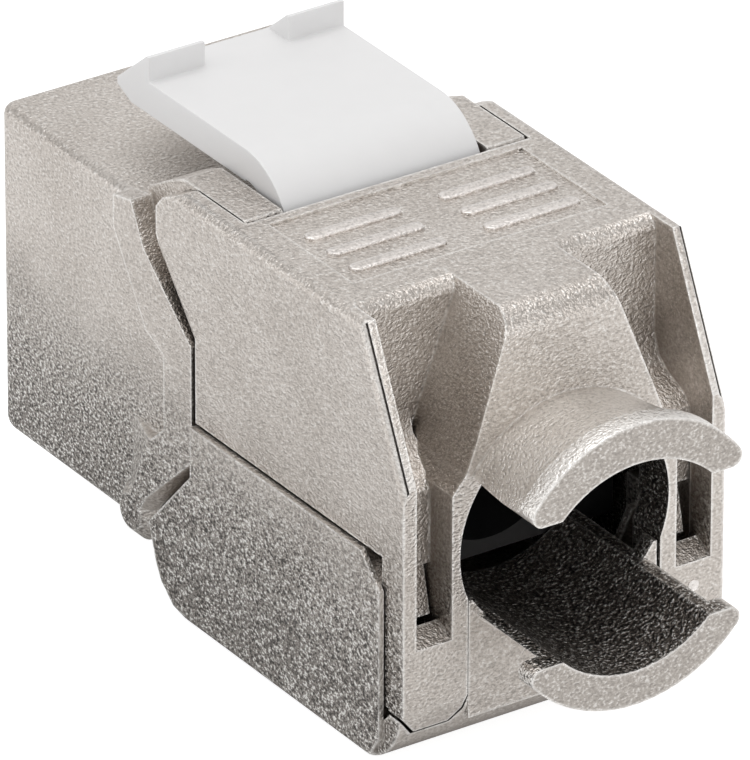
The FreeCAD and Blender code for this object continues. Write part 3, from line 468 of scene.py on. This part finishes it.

# %% [markdown]
# ## Worn edges with a painted highlight, and painted shade in corners
# Hands and tools rub a casting bright where it stands out, and its outer edges also get a painted
# highlight where they would catch the light. Inner corners and deep hollows get painted shade. The Bevel
# node compares the true normal with a rounded one, and so finds the edges. Ambient occlusion tells how
# closed in a point is: read close by, it finds the inner corners, and read far off, it finds the deep
# hollows. A noise breaks up the rub and its highlight, because real wear comes in patches.

# %% Group: edge wear and painted shade
EDGE_AND_CORNER_SAMPLES = 6
HOLLOW_SAMPLES = 8
HOLLOW_REACHES = 14.0
BENT_EDGE = (0.995, 0.86)
CLOSED_CORNER = (0.5, 0.15)
DEEP_HOLLOW = (0.48, 0.15)
SHELTERED = (0.95, 0.6)
RUB_AND_SHEEN_SCALE = 2600.0
RUB_AND_SHEEN_PATCHES = (0.3, 0.6, 0.35, 1.0)


def openness(tree, reach, samples):
    """How open to the air a point is, looked at within a reach."""
    node = tree.nodes.new("ShaderNodeAmbientOcclusion")
    node.samples = samples
    tree.links.new(reach, node.inputs["Distance"])
    return node.outputs["AO"]


def build_edge_wear_and_shade():
    """Masks for edges rubbed and painted bright, and for painted shade in inner corners and deep hollows.
    """
    group, source, sink = new_group(
        "edge_wear_and_shade",
        [("Vector", "NodeSocketVector", None), ("Reach", "NodeSocketFloat", 0.3 * MM)],
        ["Edge", "RubAndSheen", "Corner", "Hollow", "Sheltered"])
    reach = source.outputs["Reach"]
    # edges rubbed bright, with a painted highlight
    bevel = group.nodes.new("ShaderNodeBevel")
    bevel.samples = EDGE_AND_CORNER_SAMPLES
    group.links.new(reach, bevel.inputs["Radius"])
    true_normal = group.nodes.new("ShaderNodeNewGeometry").outputs["True Normal"]
    likeness = vector_value(group, "DOT_PRODUCT", bevel.outputs["Normal"], true_normal)
    bent = stretch(group, likeness, *BENT_EDGE)

    # painted shade in inner corners
    corner = stretch(group, openness(group, reach, EDGE_AND_CORNER_SAMPLES), *CLOSED_CORNER)
    open_sky = maths(group, "SUBTRACT", 1.0, corner, clamp=True)
    patches = stretch(group, noise(group, source.outputs["Vector"], RUB_AND_SHEEN_SCALE, 3.0, 0.6), *RUB_AND_SHEEN_PATCHES)
    rub_and_sheen = maths(group, "MULTIPLY", open_sky, patches, clamp=True)
    group.links.new(rub_and_sheen, sink.inputs["RubAndSheen"])
    group.links.new(times(group, bent, rub_and_sheen), sink.inputs["Edge"])
    group.links.new(corner, sink.inputs["Corner"])

    # painted shade in deep hollows, and shelter for the roughness
    far_open = openness(group, times(group, reach, HOLLOW_REACHES), HOLLOW_SAMPLES)
    group.links.new(stretch(group, far_open, *DEEP_HOLLOW), sink.inputs["Hollow"])
    group.links.new(stretch(group, far_open, *SHELTERED), sink.inputs["Sheltered"])
    return group


EDGE_WEAR_AND_SHADE = build_edge_wear_and_shade()
print("group", EDGE_WEAR_AND_SHADE.name, "has", len(EDGE_WEAR_AND_SHADE.nodes), "nodes")

# %% [markdown]
# ## Starting a material
# Every finish starts the same way: a Principled shader, and a place read in Object coordinates, so that
# the pattern stays on the piece when its body moves. The bump gets a real depth in metres, which keeps
# the grain at its true size.


# %% Helpers: materials
def new_material(name):
    """A material with its Principled shader and an Object coordinate."""
    material = bpy.data.materials.new(name)
    material.use_nodes = True
    tree = material.node_tree
    shader = tree.nodes["Principled BSDF"]
    place = tree.nodes.new("ShaderNodeTexCoord").outputs["Object"]
    return material, tree, shader, place


def placed(tree, group, place, **numbers):
    """The outputs of a group's node in a material, reading the place."""
    node = tree.nodes.new("ShaderNodeGroup")
    node.node_tree = group
    tree.links.new(place, node.inputs["Vector"])
    for label, number in numbers.items():
        node.inputs[label].default_value = number
    return node.outputs


def bumped(tree, shader, height, distance):
    """Feed a height to the shader's normal."""
    node = tree.nodes.new("ShaderNodeBump")
    node.inputs["Distance"].default_value = distance
    node.inputs["Strength"].default_value = 1.0
    tree.links.new(height, node.inputs["Height"])
    tree.links.new(node.outputs["Normal"], shader.inputs["Normal"])


def dimmed(colour, red, green, blue):
    """A colour with each of its parts made darker."""
    return (colour[0] * red, colour[1] * green, colour[2] * blue)


def paint(piece, material):
    """Put one material on a whole piece."""
    piece.data.materials.clear()
    piece.data.materials.append(material)


print("materials so far", len(bpy.data.materials))

# %% [markdown]
# ## Cast metal
# The shells and the block are nickel on cast zinc: a warm satin grey, almost without colour. A plain
# metal with a bump looks like new foil, so the base colour is built up in layers: cloudy metal, painted
# shade on the low flanks and in the bore, a painted sheen on the collar, painted shade on the flange's
# end faces, then painted shade in the pits, painted glints on the crests, painted shade in the hollows
# and inner corners, and last the edges painted bright, as wear and as a highlight, on top of everything.
# The bump grows where the casting is rugged, and open faces are a little rougher than sheltered ones.

# %% Material: cast metal
CAST_LIGHT = (0.66, 0.61, 0.565)
CAST_DARK = (0.60, 0.55, 0.505)
CAST_WEAR_AND_SHEEN = (1.0, 0.98, 0.95)
CAST_DEPTH = 0.08 * MM
GRAIN_SIZE = 1.0
EDGE_AND_CORNER_REACH = 0.25 * MM
LOW_SHARE = 0.7
BORE_SHARE = 0.85
COLLAR_SHARE = 0.6
END_SHADE_SHARE = 0.8
PIT_SHARE = 0.3
GLINT_SHARE = 0.5
HOLLOW_SHARE = 0.85
RUGGED_GAIN = 1.5
RUGGED_BUMP = 2.6
SHELTERED_ROUGHNESS = 0.31
OPEN_ROUGHNESS = 0.40


def zone_colours(tree, grain, zones, light, dark, wear_and_sheen):
    """The metal's colour before any grain: clouds, then painted shade and sheen zones laid over one
    another.
    """
    base = mixed(tree, grain["Cloud"], dark, light)
    # painted shade low on the flanks and in the bore, a painted sheen on the collar, painted shade on the
    # flange's end faces
    base = mixed(tree, times(tree, zones["Low"], LOW_SHARE), base, dimmed(dark, 0.4, 0.4, 0.4))
    base = mixed(tree, times(tree, zones["Bore"], BORE_SHARE), base, dimmed(dark, 0.30, 0.28, 0.26))
    base = mixed(tree, times(tree, zones["Collar"], COLLAR_SHARE), base, wear_and_sheen)
    return mixed(tree, times(tree, zones["EndShade"], END_SHADE_SHARE), base, dimmed(dark, 0.72, 0.72, 0.72))


def stronger_where_rugged(tree, mild, share, harsh, rugged):
    """A mild mask everywhere, or a harsh one where the casting is rugged."""
    return maths(tree, "MAXIMUM", times(tree, mild, share), times(tree, harsh, rugged))


def build_cast_metal(name, light, dark, wear_and_sheen, depth):
    """Plated casting: satin metal with pebbled grain, edges painted bright and painted shade in corners.
    """
    material, tree, shader, place = new_material(name)
    grain = placed(tree, CAST_GRAIN, place, Size=GRAIN_SIZE)
    zones = placed(tree, CASTING_ZONES, place)
    wear_and_shade = placed(tree, EDGE_WEAR_AND_SHADE, place, Reach=EDGE_AND_CORNER_REACH)
    base = zone_colours(tree, grain, zones, light, dark, wear_and_sheen)

    rugged = maths(tree, "MAXIMUM", zones["Low"], zones["Bore"])
    rugged = maths(tree, "MULTIPLY", rugged, RUGGED_GAIN, clamp=True)
    # painted shade in the pits and painted glints on the crests, harsher where the casting is rugged
    pit = stronger_where_rugged(tree, grain["Pit"], PIT_SHARE, grain["Hole"], rugged)
    base = mixed(tree, pit, base, dimmed(dark, 0.15, 0.15, 0.15))
    glint = stronger_where_rugged(tree, grain["Glint"], GLINT_SHARE, grain["Spark"], rugged)
    base = mixed(tree, glint, base, wear_and_sheen)

    # painted shade in deep hollows and inner corners
    hollow_shade = dimmed(dark, 0.30, 0.265, 0.235)
    base = mixed(tree, times(tree, wear_and_shade["Hollow"], HOLLOW_SHARE), base, hollow_shade)
    base = mixed(tree, wear_and_shade["Corner"], base, dimmed(dark, 0.3, 0.3, 0.3))
    # outer edges painted bright, as wear and as a painted highlight
    rim = tree.nodes.new("ShaderNodeAttribute")
    rim.attribute_name = "wear_and_sheen"
    rubbed_and_lit = maths(tree, "MAXIMUM", times(tree, rim.outputs["Fac"], wear_and_shade["RubAndSheen"]), wear_and_shade["Edge"])
    tree.links.new(mixed(tree, rubbed_and_lit, base, wear_and_sheen), shader.inputs["Base Color"])

    rough = stretch(tree, wear_and_shade["Sheltered"], 0.0, 1.0, SHELTERED_ROUGHNESS, OPEN_ROUGHNESS)
    tree.links.new(rough, shader.inputs["Roughness"])
    shader.inputs["Metallic"].default_value = 1.0
    gain = stretch(tree, rugged, 0.0, 1.0, 1.0, RUGGED_BUMP)
    bumped(tree, shader, times(tree, grain["Height"], gain), depth)
    return material


CAST_METAL = build_cast_metal("cast_metal", CAST_LIGHT, CAST_DARK, CAST_WEAR_AND_SHEEN, CAST_DEPTH)
print("material", CAST_METAL.name, "has", len(CAST_METAL.node_tree.nodes), "nodes")

# %% [markdown]
# ## White latch plastic
# The latch is moulded in a tough white plastic, smooth and slightly waxy. White alone would look like
# paper, so a little light is let into the plastic with subsurface scattering, and the gloss wavers by a
# slow noise. Its bump is only a few thousandths of a millimetre deep.

# %% Material: latch plastic
LATCH_SHADE = (0.765, 0.76, 0.76)
LATCH_BRIGHT = (0.79, 0.785, 0.785)
LATCH_GLOSS = (0.34, 0.44)
LIGHT_INSIDE = 0.15
LIGHT_TRAVEL = 1.0 * MM


def build_latch_plastic():
    """White moulded plastic, nearly smooth, with a slight glow of light inside it."""
    material, tree, shader, place = new_material("latch_white")
    cloud = noise(tree, place, 900.0)
    tree.links.new(mixed(tree, cloud, LATCH_SHADE, LATCH_BRIGHT), shader.inputs["Base Color"])
    tree.links.new(stretch(tree, cloud, 0.3, 0.7, *LATCH_GLOSS), shader.inputs["Roughness"])
    shader.inputs["Subsurface Weight"].default_value = LIGHT_INSIDE
    shader.inputs["Subsurface Radius"].default_value = (LIGHT_TRAVEL, LIGHT_TRAVEL, LIGHT_TRAVEL)
    shader.inputs["Subsurface Scale"].default_value = 0.6
    bumped(tree, shader, noise(tree, place, 5000.0), 0.003 * MM)
    return material


LATCH_WHITE = build_latch_plastic()
print("material", LATCH_WHITE.name, "gloss from", LATCH_GLOSS[0], "to", LATCH_GLOSS[1])

# %% [markdown]
# ## Plain finishes for the inside
# The insert, the board, the terminals and the contacts are seen only as glimpses through the openings. A
# flat colour would still look false there, so each gets a faint mottle in colour, gloss and bump from
# one noise. One builder makes them all, and only the numbers differ.

# %% Materials: inner pieces
MOTTLE_SCALE = 3000.0
MOTTLE_DEPTH = 0.005 * MM
GLOSS_WAVER = 0.06


def build_plain(name, low, high, rough, metal):
    """A finish with a faint mottle."""
    material, tree, shader, place = new_material(name)
    cloud = noise(tree, place, MOTTLE_SCALE, 3.0)
    tree.links.new(mixed(tree, cloud, low, high), shader.inputs["Base Color"])
    gloss = stretch(tree, cloud, 0.3, 0.7, rough - GLOSS_WAVER, rough + GLOSS_WAVER)
    tree.links.new(gloss, shader.inputs["Roughness"])
    shader.inputs["Metallic"].default_value = metal
    bumped(tree, shader, cloud, MOTTLE_DEPTH)
    return material


BLACK_PLASTIC = build_plain("black_plastic", (0.012, 0.012, 0.013), (0.02, 0.02, 0.021), 0.4, 0.0)
BOARD_GREEN = build_plain("board_green", (0.01, 0.06, 0.03), (0.015, 0.08, 0.04), 0.35, 0.0)
GOLD = build_plain("gold_plate", (0.9, 0.62, 0.22), (0.95, 0.68, 0.28), 0.2, 1.0)
TIN = build_plain("tin_plate", (0.68, 0.68, 0.68), (0.76, 0.76, 0.76), 0.3, 1.0)
SPRING_STEEL = build_plain("spring_steel", (0.55, 0.54, 0.52), (0.62, 0.61, 0.6), 0.28, 1.0)
print("materials", len(bpy.data.materials))

# %% [markdown]
# ## The finger grip's recess
# The bars of the finger grip stand in a recess that is hardly deeper than a scratch: only its outline
# shows. The solid's recess is a little deeper. It could be filled and cut again, but it is enough to
# pick the points of its floor and lift them together.

# %% Helper: make the recess shallow
TOUCH = 0.01 * MM
GRIP_FLOOR = 19.65 * MM
GRIP_HALF_WIDTH = 6.4 * MM
GRIP_START = 0.6 * MM
GRIP_END = 7.1 * MM
GRIP_LIFT = 0.05 * MM


def raise_grip_floor(piece):
    """Lift the floor of the shallow recess in the roof, so that only its outline shows."""
    def on_floor(vertex):
        place = vertex.co
        inside = abs(place.x) < GRIP_HALF_WIDTH and GRIP_START < place.y < GRIP_END
        return inside and abs(place.z - GRIP_FLOOR) < TOUCH

    found = choose(piece, "VERT", on_floor)
    bpy.ops.transform.translate(value=(0.0, 0.0, GRIP_LIFT))
    bpy.ops.object.mode_set(mode="OBJECT")
    print("  recess points lifted", found)


print("the recess is made shallower by", round(GRIP_LIFT / MM, 2), "mm")

# %% [markdown]
# ## The side panels' seam
# Where the upper shell's side panels close on the lower shell's, the castings nearly touch, and the seam
# is a hair line. The solids keep more air there, because the shells have to swing. Moving the lower
# edge's points down narrows the seam on the copy and leaves everything above as it was.

# %% Helper: bring the seam close
SEAM_TOP = 9.9 * MM
SEAM_DROP = 0.20 * MM
SEAM_INNER = 6.8 * MM
SEAM_START = -2.4 * MM
SEAM_END = 11.8 * MM


def close_seam(piece):
    """Let the upper panels down on the lower ones, to a hair's gap."""
    def on_seam(vertex):
        place = vertex.co
        beside = abs(place.x) > SEAM_INNER and SEAM_START < place.y < SEAM_END
        return beside and abs(place.z - SEAM_TOP) < TOUCH

    found = choose(piece, "VERT", on_seam)
    bpy.ops.transform.translate(value=(0.0, 0.0, -SEAM_DROP))
    bpy.ops.object.mode_set(mode="OBJECT")
    print("  seam points let down", found)


print("the seam is narrowed by", round(SEAM_DROP / MM, 2), "mm")

# %% [markdown]
# ## The slit behind the side panels
# Down the sloping back of each side wall runs a slit as fine as a hair, where the outer skin meets the
# wall. A texture could draw it, but a real groove catches its own shadow from every side. Two bisects
# cut the sloping faces on both sides of the slit, and the strip between them is extruded inwards.

# %% Helper: cut a slit
SLIT_NEAR = 7.70 * MM
SLIT_FAR = 7.80 * MM
SLIT_DEPTH = 0.16 * MM
WALL_NEAR = 7.2 * MM
WALL_FAR = 8.0 * MM
SLOPE = Vector((0.0, 0.905, 0.425))
SLOPE_LIKE = 0.3
SLOPE_LOW = Vector((0.0, 10.4, 13.0)) * MM
SLOPE_TOP = 19.0 * MM


def cut_slit(piece, side):
    """A hair-fine slit down the sloping rear face of a side wall."""
    def on_slope(polygon, near, shadowed_glow):
        middle = polygon.center
        in_reach = middle.y > SLOPE_LOW.y and SLOPE_LOW.z < middle.z < SLOPE_TOP
        return in_reach and polygon.normal.dot(SLOPE) > SLOPE_LIKE and near < side * middle.x < shadowed_glow

    for place in (SLIT_NEAR, SLIT_FAR):
        choose(piece, "FACE", lambda polygon: on_slope(polygon, WALL_NEAR, WALL_FAR))
        bpy.ops.mesh.bisect(plane_co=(side * place, 0.0, 0.0), plane_no=(1.0, 0.0, 0.0))
        bpy.ops.object.mode_set(mode="OBJECT")
    strips = choose(piece, "FACE", lambda polygon: on_slope(polygon, SLIT_NEAR, SLIT_FAR))
    bpy.ops.mesh.extrude_region_move(TRANSFORM_OT_translate={"value": -SLIT_DEPTH * SLOPE})
    bpy.ops.object.mode_set(mode="OBJECT")
    print("  slit on side", side, "strips", strips)


print("a slit is", round((SLIT_FAR - SLIT_NEAR) / MM, 2), "mm wide and", SLIT_DEPTH / MM, "mm deep")

# %% [markdown]
# ## How round each edge is
# Edges of one casting differ: the proud rim of the lower panels is the roundest, the edge that closes on
# the seam stays keen, and the rest lies between. A function for each piece answers with the radius for
# the edge that it is asked about, which is easier to read than a list of edges.

# %% Radii for castings and latch
CAST_RADIUS = 0.13 * MM
SEAM_RADIUS = 0.04 * MM
RIM_RADIUS = 0.2 * MM
RIM_OUT = 8.25 * MM
LATCH_RADIUS = 0.12 * MM


def cast_radius(edge):
    """Castings are tumbled, which takes the keenness off every edge."""
    return CAST_RADIUS


def upper_radius(edge):
    """The panels' lower edge stays keen, because it closes on the lower shell."""
    seam = SEAM_TOP - SEAM_DROP
    on_seam = max(abs(vertex.co.z - seam) for vertex in edge.verts) < TOUCH
    return SEAM_RADIUS if on_seam else CAST_RADIUS


def lower_radius(edge):
    """The rim of the proud lower panels is the roundest."""
    on_rim = min(abs(vertex.co.x) for vertex in edge.verts) > RIM_OUT
    return RIM_RADIUS if on_rim else CAST_RADIUS


def latch_radius(edge):
    """Moulded plastic comes out of its mould with small radii."""
    return LATCH_RADIUS


print("radii in mm", [round(r / MM, 2) for r in (SEAM_RADIUS, LATCH_RADIUS, CAST_RADIUS, RIM_RADIUS)])

# %% [markdown]
# ## Dressing the block, the shells and the latch
# The block holds the socket and carries the hinges. The upper shell folds down over it, the lower shell
# folds up from below with a trough in its floor, and the latch holds the jack in its panel. Each could be
# modelled anew, but the solids have their exact shapes already. So each dressed piece is a merged copy
# with soft edges. It rides on its solid's body, and stands for that solid.


# %% Dress the castings and the latch
def dress(node, name, body, material, radius_of, reshape=None):
    """A softened copy of a solid that stands for it."""
    piece = merged_copy(node, name)
    if reshape:
        reshape(piece)
    soften_edges(piece, radius_of)
    paint(piece, material)
    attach(piece, body)
    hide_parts(node)
    print("  faces", len(piece.data.polygons))


def reshape_upper_shell(piece):
    """The small changes of the upper shell's copy: shallow recess, close seam and two slits."""
    raise_grip_floor(piece)
    close_seam(piece)
    cut_slit(piece, 1.0)
    cut_slit(piece, -1.0)


dress("front_housing", "port_casting", "housing", CAST_METAL, cast_radius)
dress("upper_door", "upper_shell_casting", "upper_shell", CAST_METAL, upper_radius,
      reshape_upper_shell)
dress("lower_door", "lower_shell_casting", "lower_shell", CAST_METAL, lower_radius)
dress("latch", "latch_moulding", "latch_arm", LATCH_WHITE, latch_radius)

# %% [markdown]
# ## The grip's six bars
# Three raised bars on each side of the roof give the finger a hold. They are cast with rounded ends and
# stand a hair above the roof, where they are rubbed bright. One bar is made from a cube with its upright
# edges and then its top edge beveled, and the other five are copies.

# %% Model one bar
BAR_SIZE = Vector((4.7, 0.66, 0.22)) * MM
BAR_FIRST = Vector((3.325, 2.525, 19.71)) * MM
BAR_END_RADIUS = BAR_SIZE.y * 0.49
BAR_TOP_RADIUS = 0.07 * MM
CRISP_ABOVE = math.radians(40.0)


def build_grip_bar():
    """The first bar, at its place on the roof."""
    deselect()
    bpy.ops.mesh.primitive_cube_add(size=1.0, location=BAR_FIRST, scale=BAR_SIZE)
    bar = bpy.context.object
    bpy.ops.object.transform_apply(location=True, rotation=True, scale=True)

    def heights(edge):
        return sorted(bar.data.vertices[index].co.z for index in edge.vertices)

    choose(bar, "EDGE", lambda edge: heights(edge)[1] - heights(edge)[0] > BAR_SIZE.z / 2)
    bpy.ops.mesh.bevel(offset=BAR_END_RADIUS, segments=5)
    bpy.ops.object.mode_set(mode="OBJECT")
    choose(bar, "EDGE", lambda edge: heights(edge)[0] > BAR_FIRST.z)
    bpy.ops.mesh.bevel(offset=BAR_TOP_RADIUS, segments=3)
    bpy.ops.object.mode_set(mode="OBJECT")
    bpy.ops.object.shade_smooth_by_angle(angle=CRISP_ABOVE)
    return bar


model_bar = build_grip_bar()
print("one bar", len(model_bar.data.polygons), "faces")

# %% Copy it in two rows of three
BAR_PITCH = 1.65 * MM
BAR_LIGHT = (0.80, 0.75, 0.71)
BAR_DARK = (0.72, 0.67, 0.63)
# bright colour of the rubbed bars, also used for their painted glints and edge highlights
BAR_WEAR_AND_SHEEN = (1.0, 0.96, 0.93)
BAR_DEPTH = 0.06 * MM
BAR_METAL = build_cast_metal("rubbed_metal", BAR_LIGHT, BAR_DARK, BAR_WEAR_AND_SHEEN, BAR_DEPTH)


def on_upper_shell(piece, name):
    """Name a rubbed piece, finish it and fasten it to the upper shell."""
    piece.name = name
    paint(piece, BAR_METAL)
    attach(piece, "upper_shell")


for row in range(3):
    for side, across in (("left", 0.0), ("right", -2.0 * BAR_FIRST.x)):
        bar = model_bar.copy()
        bar.data = model_bar.data.copy()
        bpy.context.scene.collection.objects.link(bar)
        bar.data.transform(Matrix.Translation((across, row * BAR_PITCH, 0.0)))
        on_upper_shell(bar, "grip_bar_%s_%d" % (side, row + 1))
bpy.data.objects.remove(model_bar)

# %% [markdown]
# ## The mould's mark
# A pin pushes the hot casting out of its mould and leaves a small round dish with a raised rim. It shows
# on the back of the right-hand leg. A flat cylinder is turned to face backwards, its cap's edge is
# beveled, the cap is inset, and the inner disc is pushed in.

# %% Model the mark
MARK_PLACE = Vector((-6.50, 13.225, 4.66)) * MM
MARK_RADIUS = 0.27 * MM
MARK_RISE = 0.035 * MM
BACKWARDS = 0.9


def build_mould_mark():
    """A round dish with a low rim on the back of a leg."""
    deselect()
    bpy.ops.mesh.primitive_cylinder_add(vertices=32, radius=MARK_RADIUS, depth=2 * MARK_RISE,
                                        location=MARK_PLACE, rotation=(math.radians(90.0), 0.0, 0.0))
    mark = bpy.context.object
    bpy.ops.object.transform_apply(location=True, rotation=True, scale=True)
    choose(mark, "FACE", lambda polygon: polygon.normal.y > BACKWARDS)
    bpy.ops.mesh.bevel(offset=0.5 * MARK_RISE, segments=2)
    bpy.ops.object.mode_set(mode="OBJECT")
    choose(mark, "FACE", lambda polygon: polygon.normal.y > BACKWARDS and len(polygon.vertices) > 4)
    bpy.ops.mesh.inset(thickness=2 * MARK_RISE)
    bpy.ops.transform.translate(value=(0.0, -0.8 * MARK_RISE, 0.0))
    bpy.ops.object.mode_set(mode="OBJECT")
    bpy.ops.object.shade_smooth_by_angle(angle=CRISP_ABOVE)
    return mark


mould_mark = build_mould_mark()
on_upper_shell(mould_mark, "mould_mark")
print("mould mark", len(mould_mark.data.polygons), "faces")

# %% [markdown]
# ## Finishing the inner pieces
# The solids inside keep their shapes, because little of them shows. Only their material slots are
# filled, by the start of each name: black moulded plastic, a green board, gold port contacts, tinned
# terminals and steel springs.

# %% Finish the inner pieces
FINISHES = {
    "port_insert": BLACK_PLASTIC,
    "terminal_block": BLACK_PLASTIC,
    "wire_manager": BLACK_PLASTIC,
    "circuit_board": BOARD_GREEN,
    "contact_": GOLD,
    "idc_contact_": TIN,
    "shield_spring_": SPRING_STEEL,
}
finished = 0
for name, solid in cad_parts.items():
    for start, material in FINISHES.items():
        if name.startswith(start):
            paint(solid, material)
            finished += 1
print("inner pieces finished", finished)

# %% [markdown]
# ## The floor
# The jack stands on white paper, almost burnt out. A plain white plane would come out grey beside the
# lights, so the paper glows when the camera looks at it straight. For the metal that mirrors it, the glow
# carries a painted shadow that darkens it close around the jack.

# %% Lay the floor
FLOOR_SIDE = 6.0
FLOOR_COLOUR = (0.5, 0.5, 0.5, 1.0)
SEEN_GLOW = 0.9
SHADE_CENTRE = (11.0 * MM, -6.0 * MM, 0.0)
SHADE_SHAPE = (1.0, 1.6, 1.0)
SHADE_REACH = (4.0 * MM, 24.0 * MM)
MIRRORED_GLOW = (0.12, 0.49)


def build_paper():
    """White paper that the camera sees nearly burnt out, with a painted shadow in its glow around the
    jack.
    """
    material, tree, shader, place = new_material("white_paper")
    shade = tree.nodes.new("ShaderNodeMapping")
    shade.vector_type = "TEXTURE"
    shade.inputs["Location"].default_value = SHADE_CENTRE
    shade.inputs["Scale"].default_value = SHADE_SHAPE
    tree.links.new(place, shade.inputs["Vector"])
    reach = vector_value(tree, "LENGTH", shade.outputs["Vector"])
    # painted shadow around the jack in the glow that the metal mirrors
    shadowed_glow = stretch(tree, reach, *SHADE_REACH, *MIRRORED_GLOW)
    glow = tree.nodes.new("ShaderNodeMix")
    glow.inputs["B"].default_value = SEEN_GLOW
    seen = tree.nodes.new("ShaderNodeLightPath").outputs["Is Camera Ray"]
    tree.links.new(seen, glow.inputs["Factor"])
    tree.links.new(shadowed_glow, glow.inputs["A"])
    shader.inputs["Base Color"].default_value = FLOOR_COLOUR
    shader.inputs["Roughness"].default_value = 0.9
    shader.inputs["Specular IOR Level"].default_value = 0.1
    shader.inputs["Emission Color"].default_value = (1.0, 1.0, 1.0, 1.0)
    tree.links.new(glow.outputs["Result"], shader.inputs["Emission Strength"])
    return material


deselect()
bpy.ops.mesh.primitive_plane_add(size=FLOOR_SIDE, location=(0.0, 0.0, 0.0))
floor = bpy.context.object
floor.name = "studio_floor"
paint(floor, build_paper())
print("floor", [round(side, 2) for side in floor.dimensions], "m")

# %% [markdown]
# ## Light and air
# Small shiny things are photographed between large soft panels, because metal shows what it mirrors. A
# sky panel lights the roof, a wide one stands beyond the jack, and two small ones at the sides brighten
# the flanks and the faces round the mouth. Air that is evenly bright keeps the shadows open. Spots would
# be simpler, but they leave hard dots on every rounded edge.

# %% Hang the lights
LIT_POINT = Vector((0.0, 0.0, 10.0)) * MM
LIGHTS = {
    "sky_panel": ((0.03, 0.0, 0.32), 0.30, 0.40),
    "back_panel": ((-0.20, -0.30, 0.24), 0.60, 0.25),
    "left_panel": ((0.26, -0.12, 0.10), 0.16, 0.08),
    "right_panel": ((-0.06, 0.28, 0.10), 0.16, 0.11),
}


def soft_light(name, place, size, power):
    """A square area light that faces the jack."""
    data = bpy.data.lights.new(name, "AREA")
    data.shape = "SQUARE"
    data.size = size
    data.energy = power
    light = bpy.data.objects.new(name, data)
    bpy.context.scene.collection.objects.link(light)
    light.location = place
    light.rotation_mode = "QUATERNION"
    light.rotation_quaternion = (LIT_POINT - Vector(place)).to_track_quat("-Z", "Y")


for name, (place, size, power) in LIGHTS.items():
    soft_light(name, place, size, power)
print("lights", len(LIGHTS), "power", round(sum(light[2] for light in LIGHTS.values()), 2), "W")

# %% Fill the air
AIR_COLOUR = (1.0, 1.0, 1.0, 1.0)
AIR_STRENGTH = 0.62

world = bpy.data.worlds.new("studio_air")
world.use_nodes = True
air = world.node_tree.nodes["Background"]
air.inputs["Color"].default_value = AIR_COLOUR
air.inputs["Strength"].default_value = AIR_STRENGTH
bpy.context.scene.world = world
bpy.context.scene.view_settings.view_transform = "Standard"
print("air", AIR_STRENGTH, "view", bpy.context.scene.view_settings.view_transform)
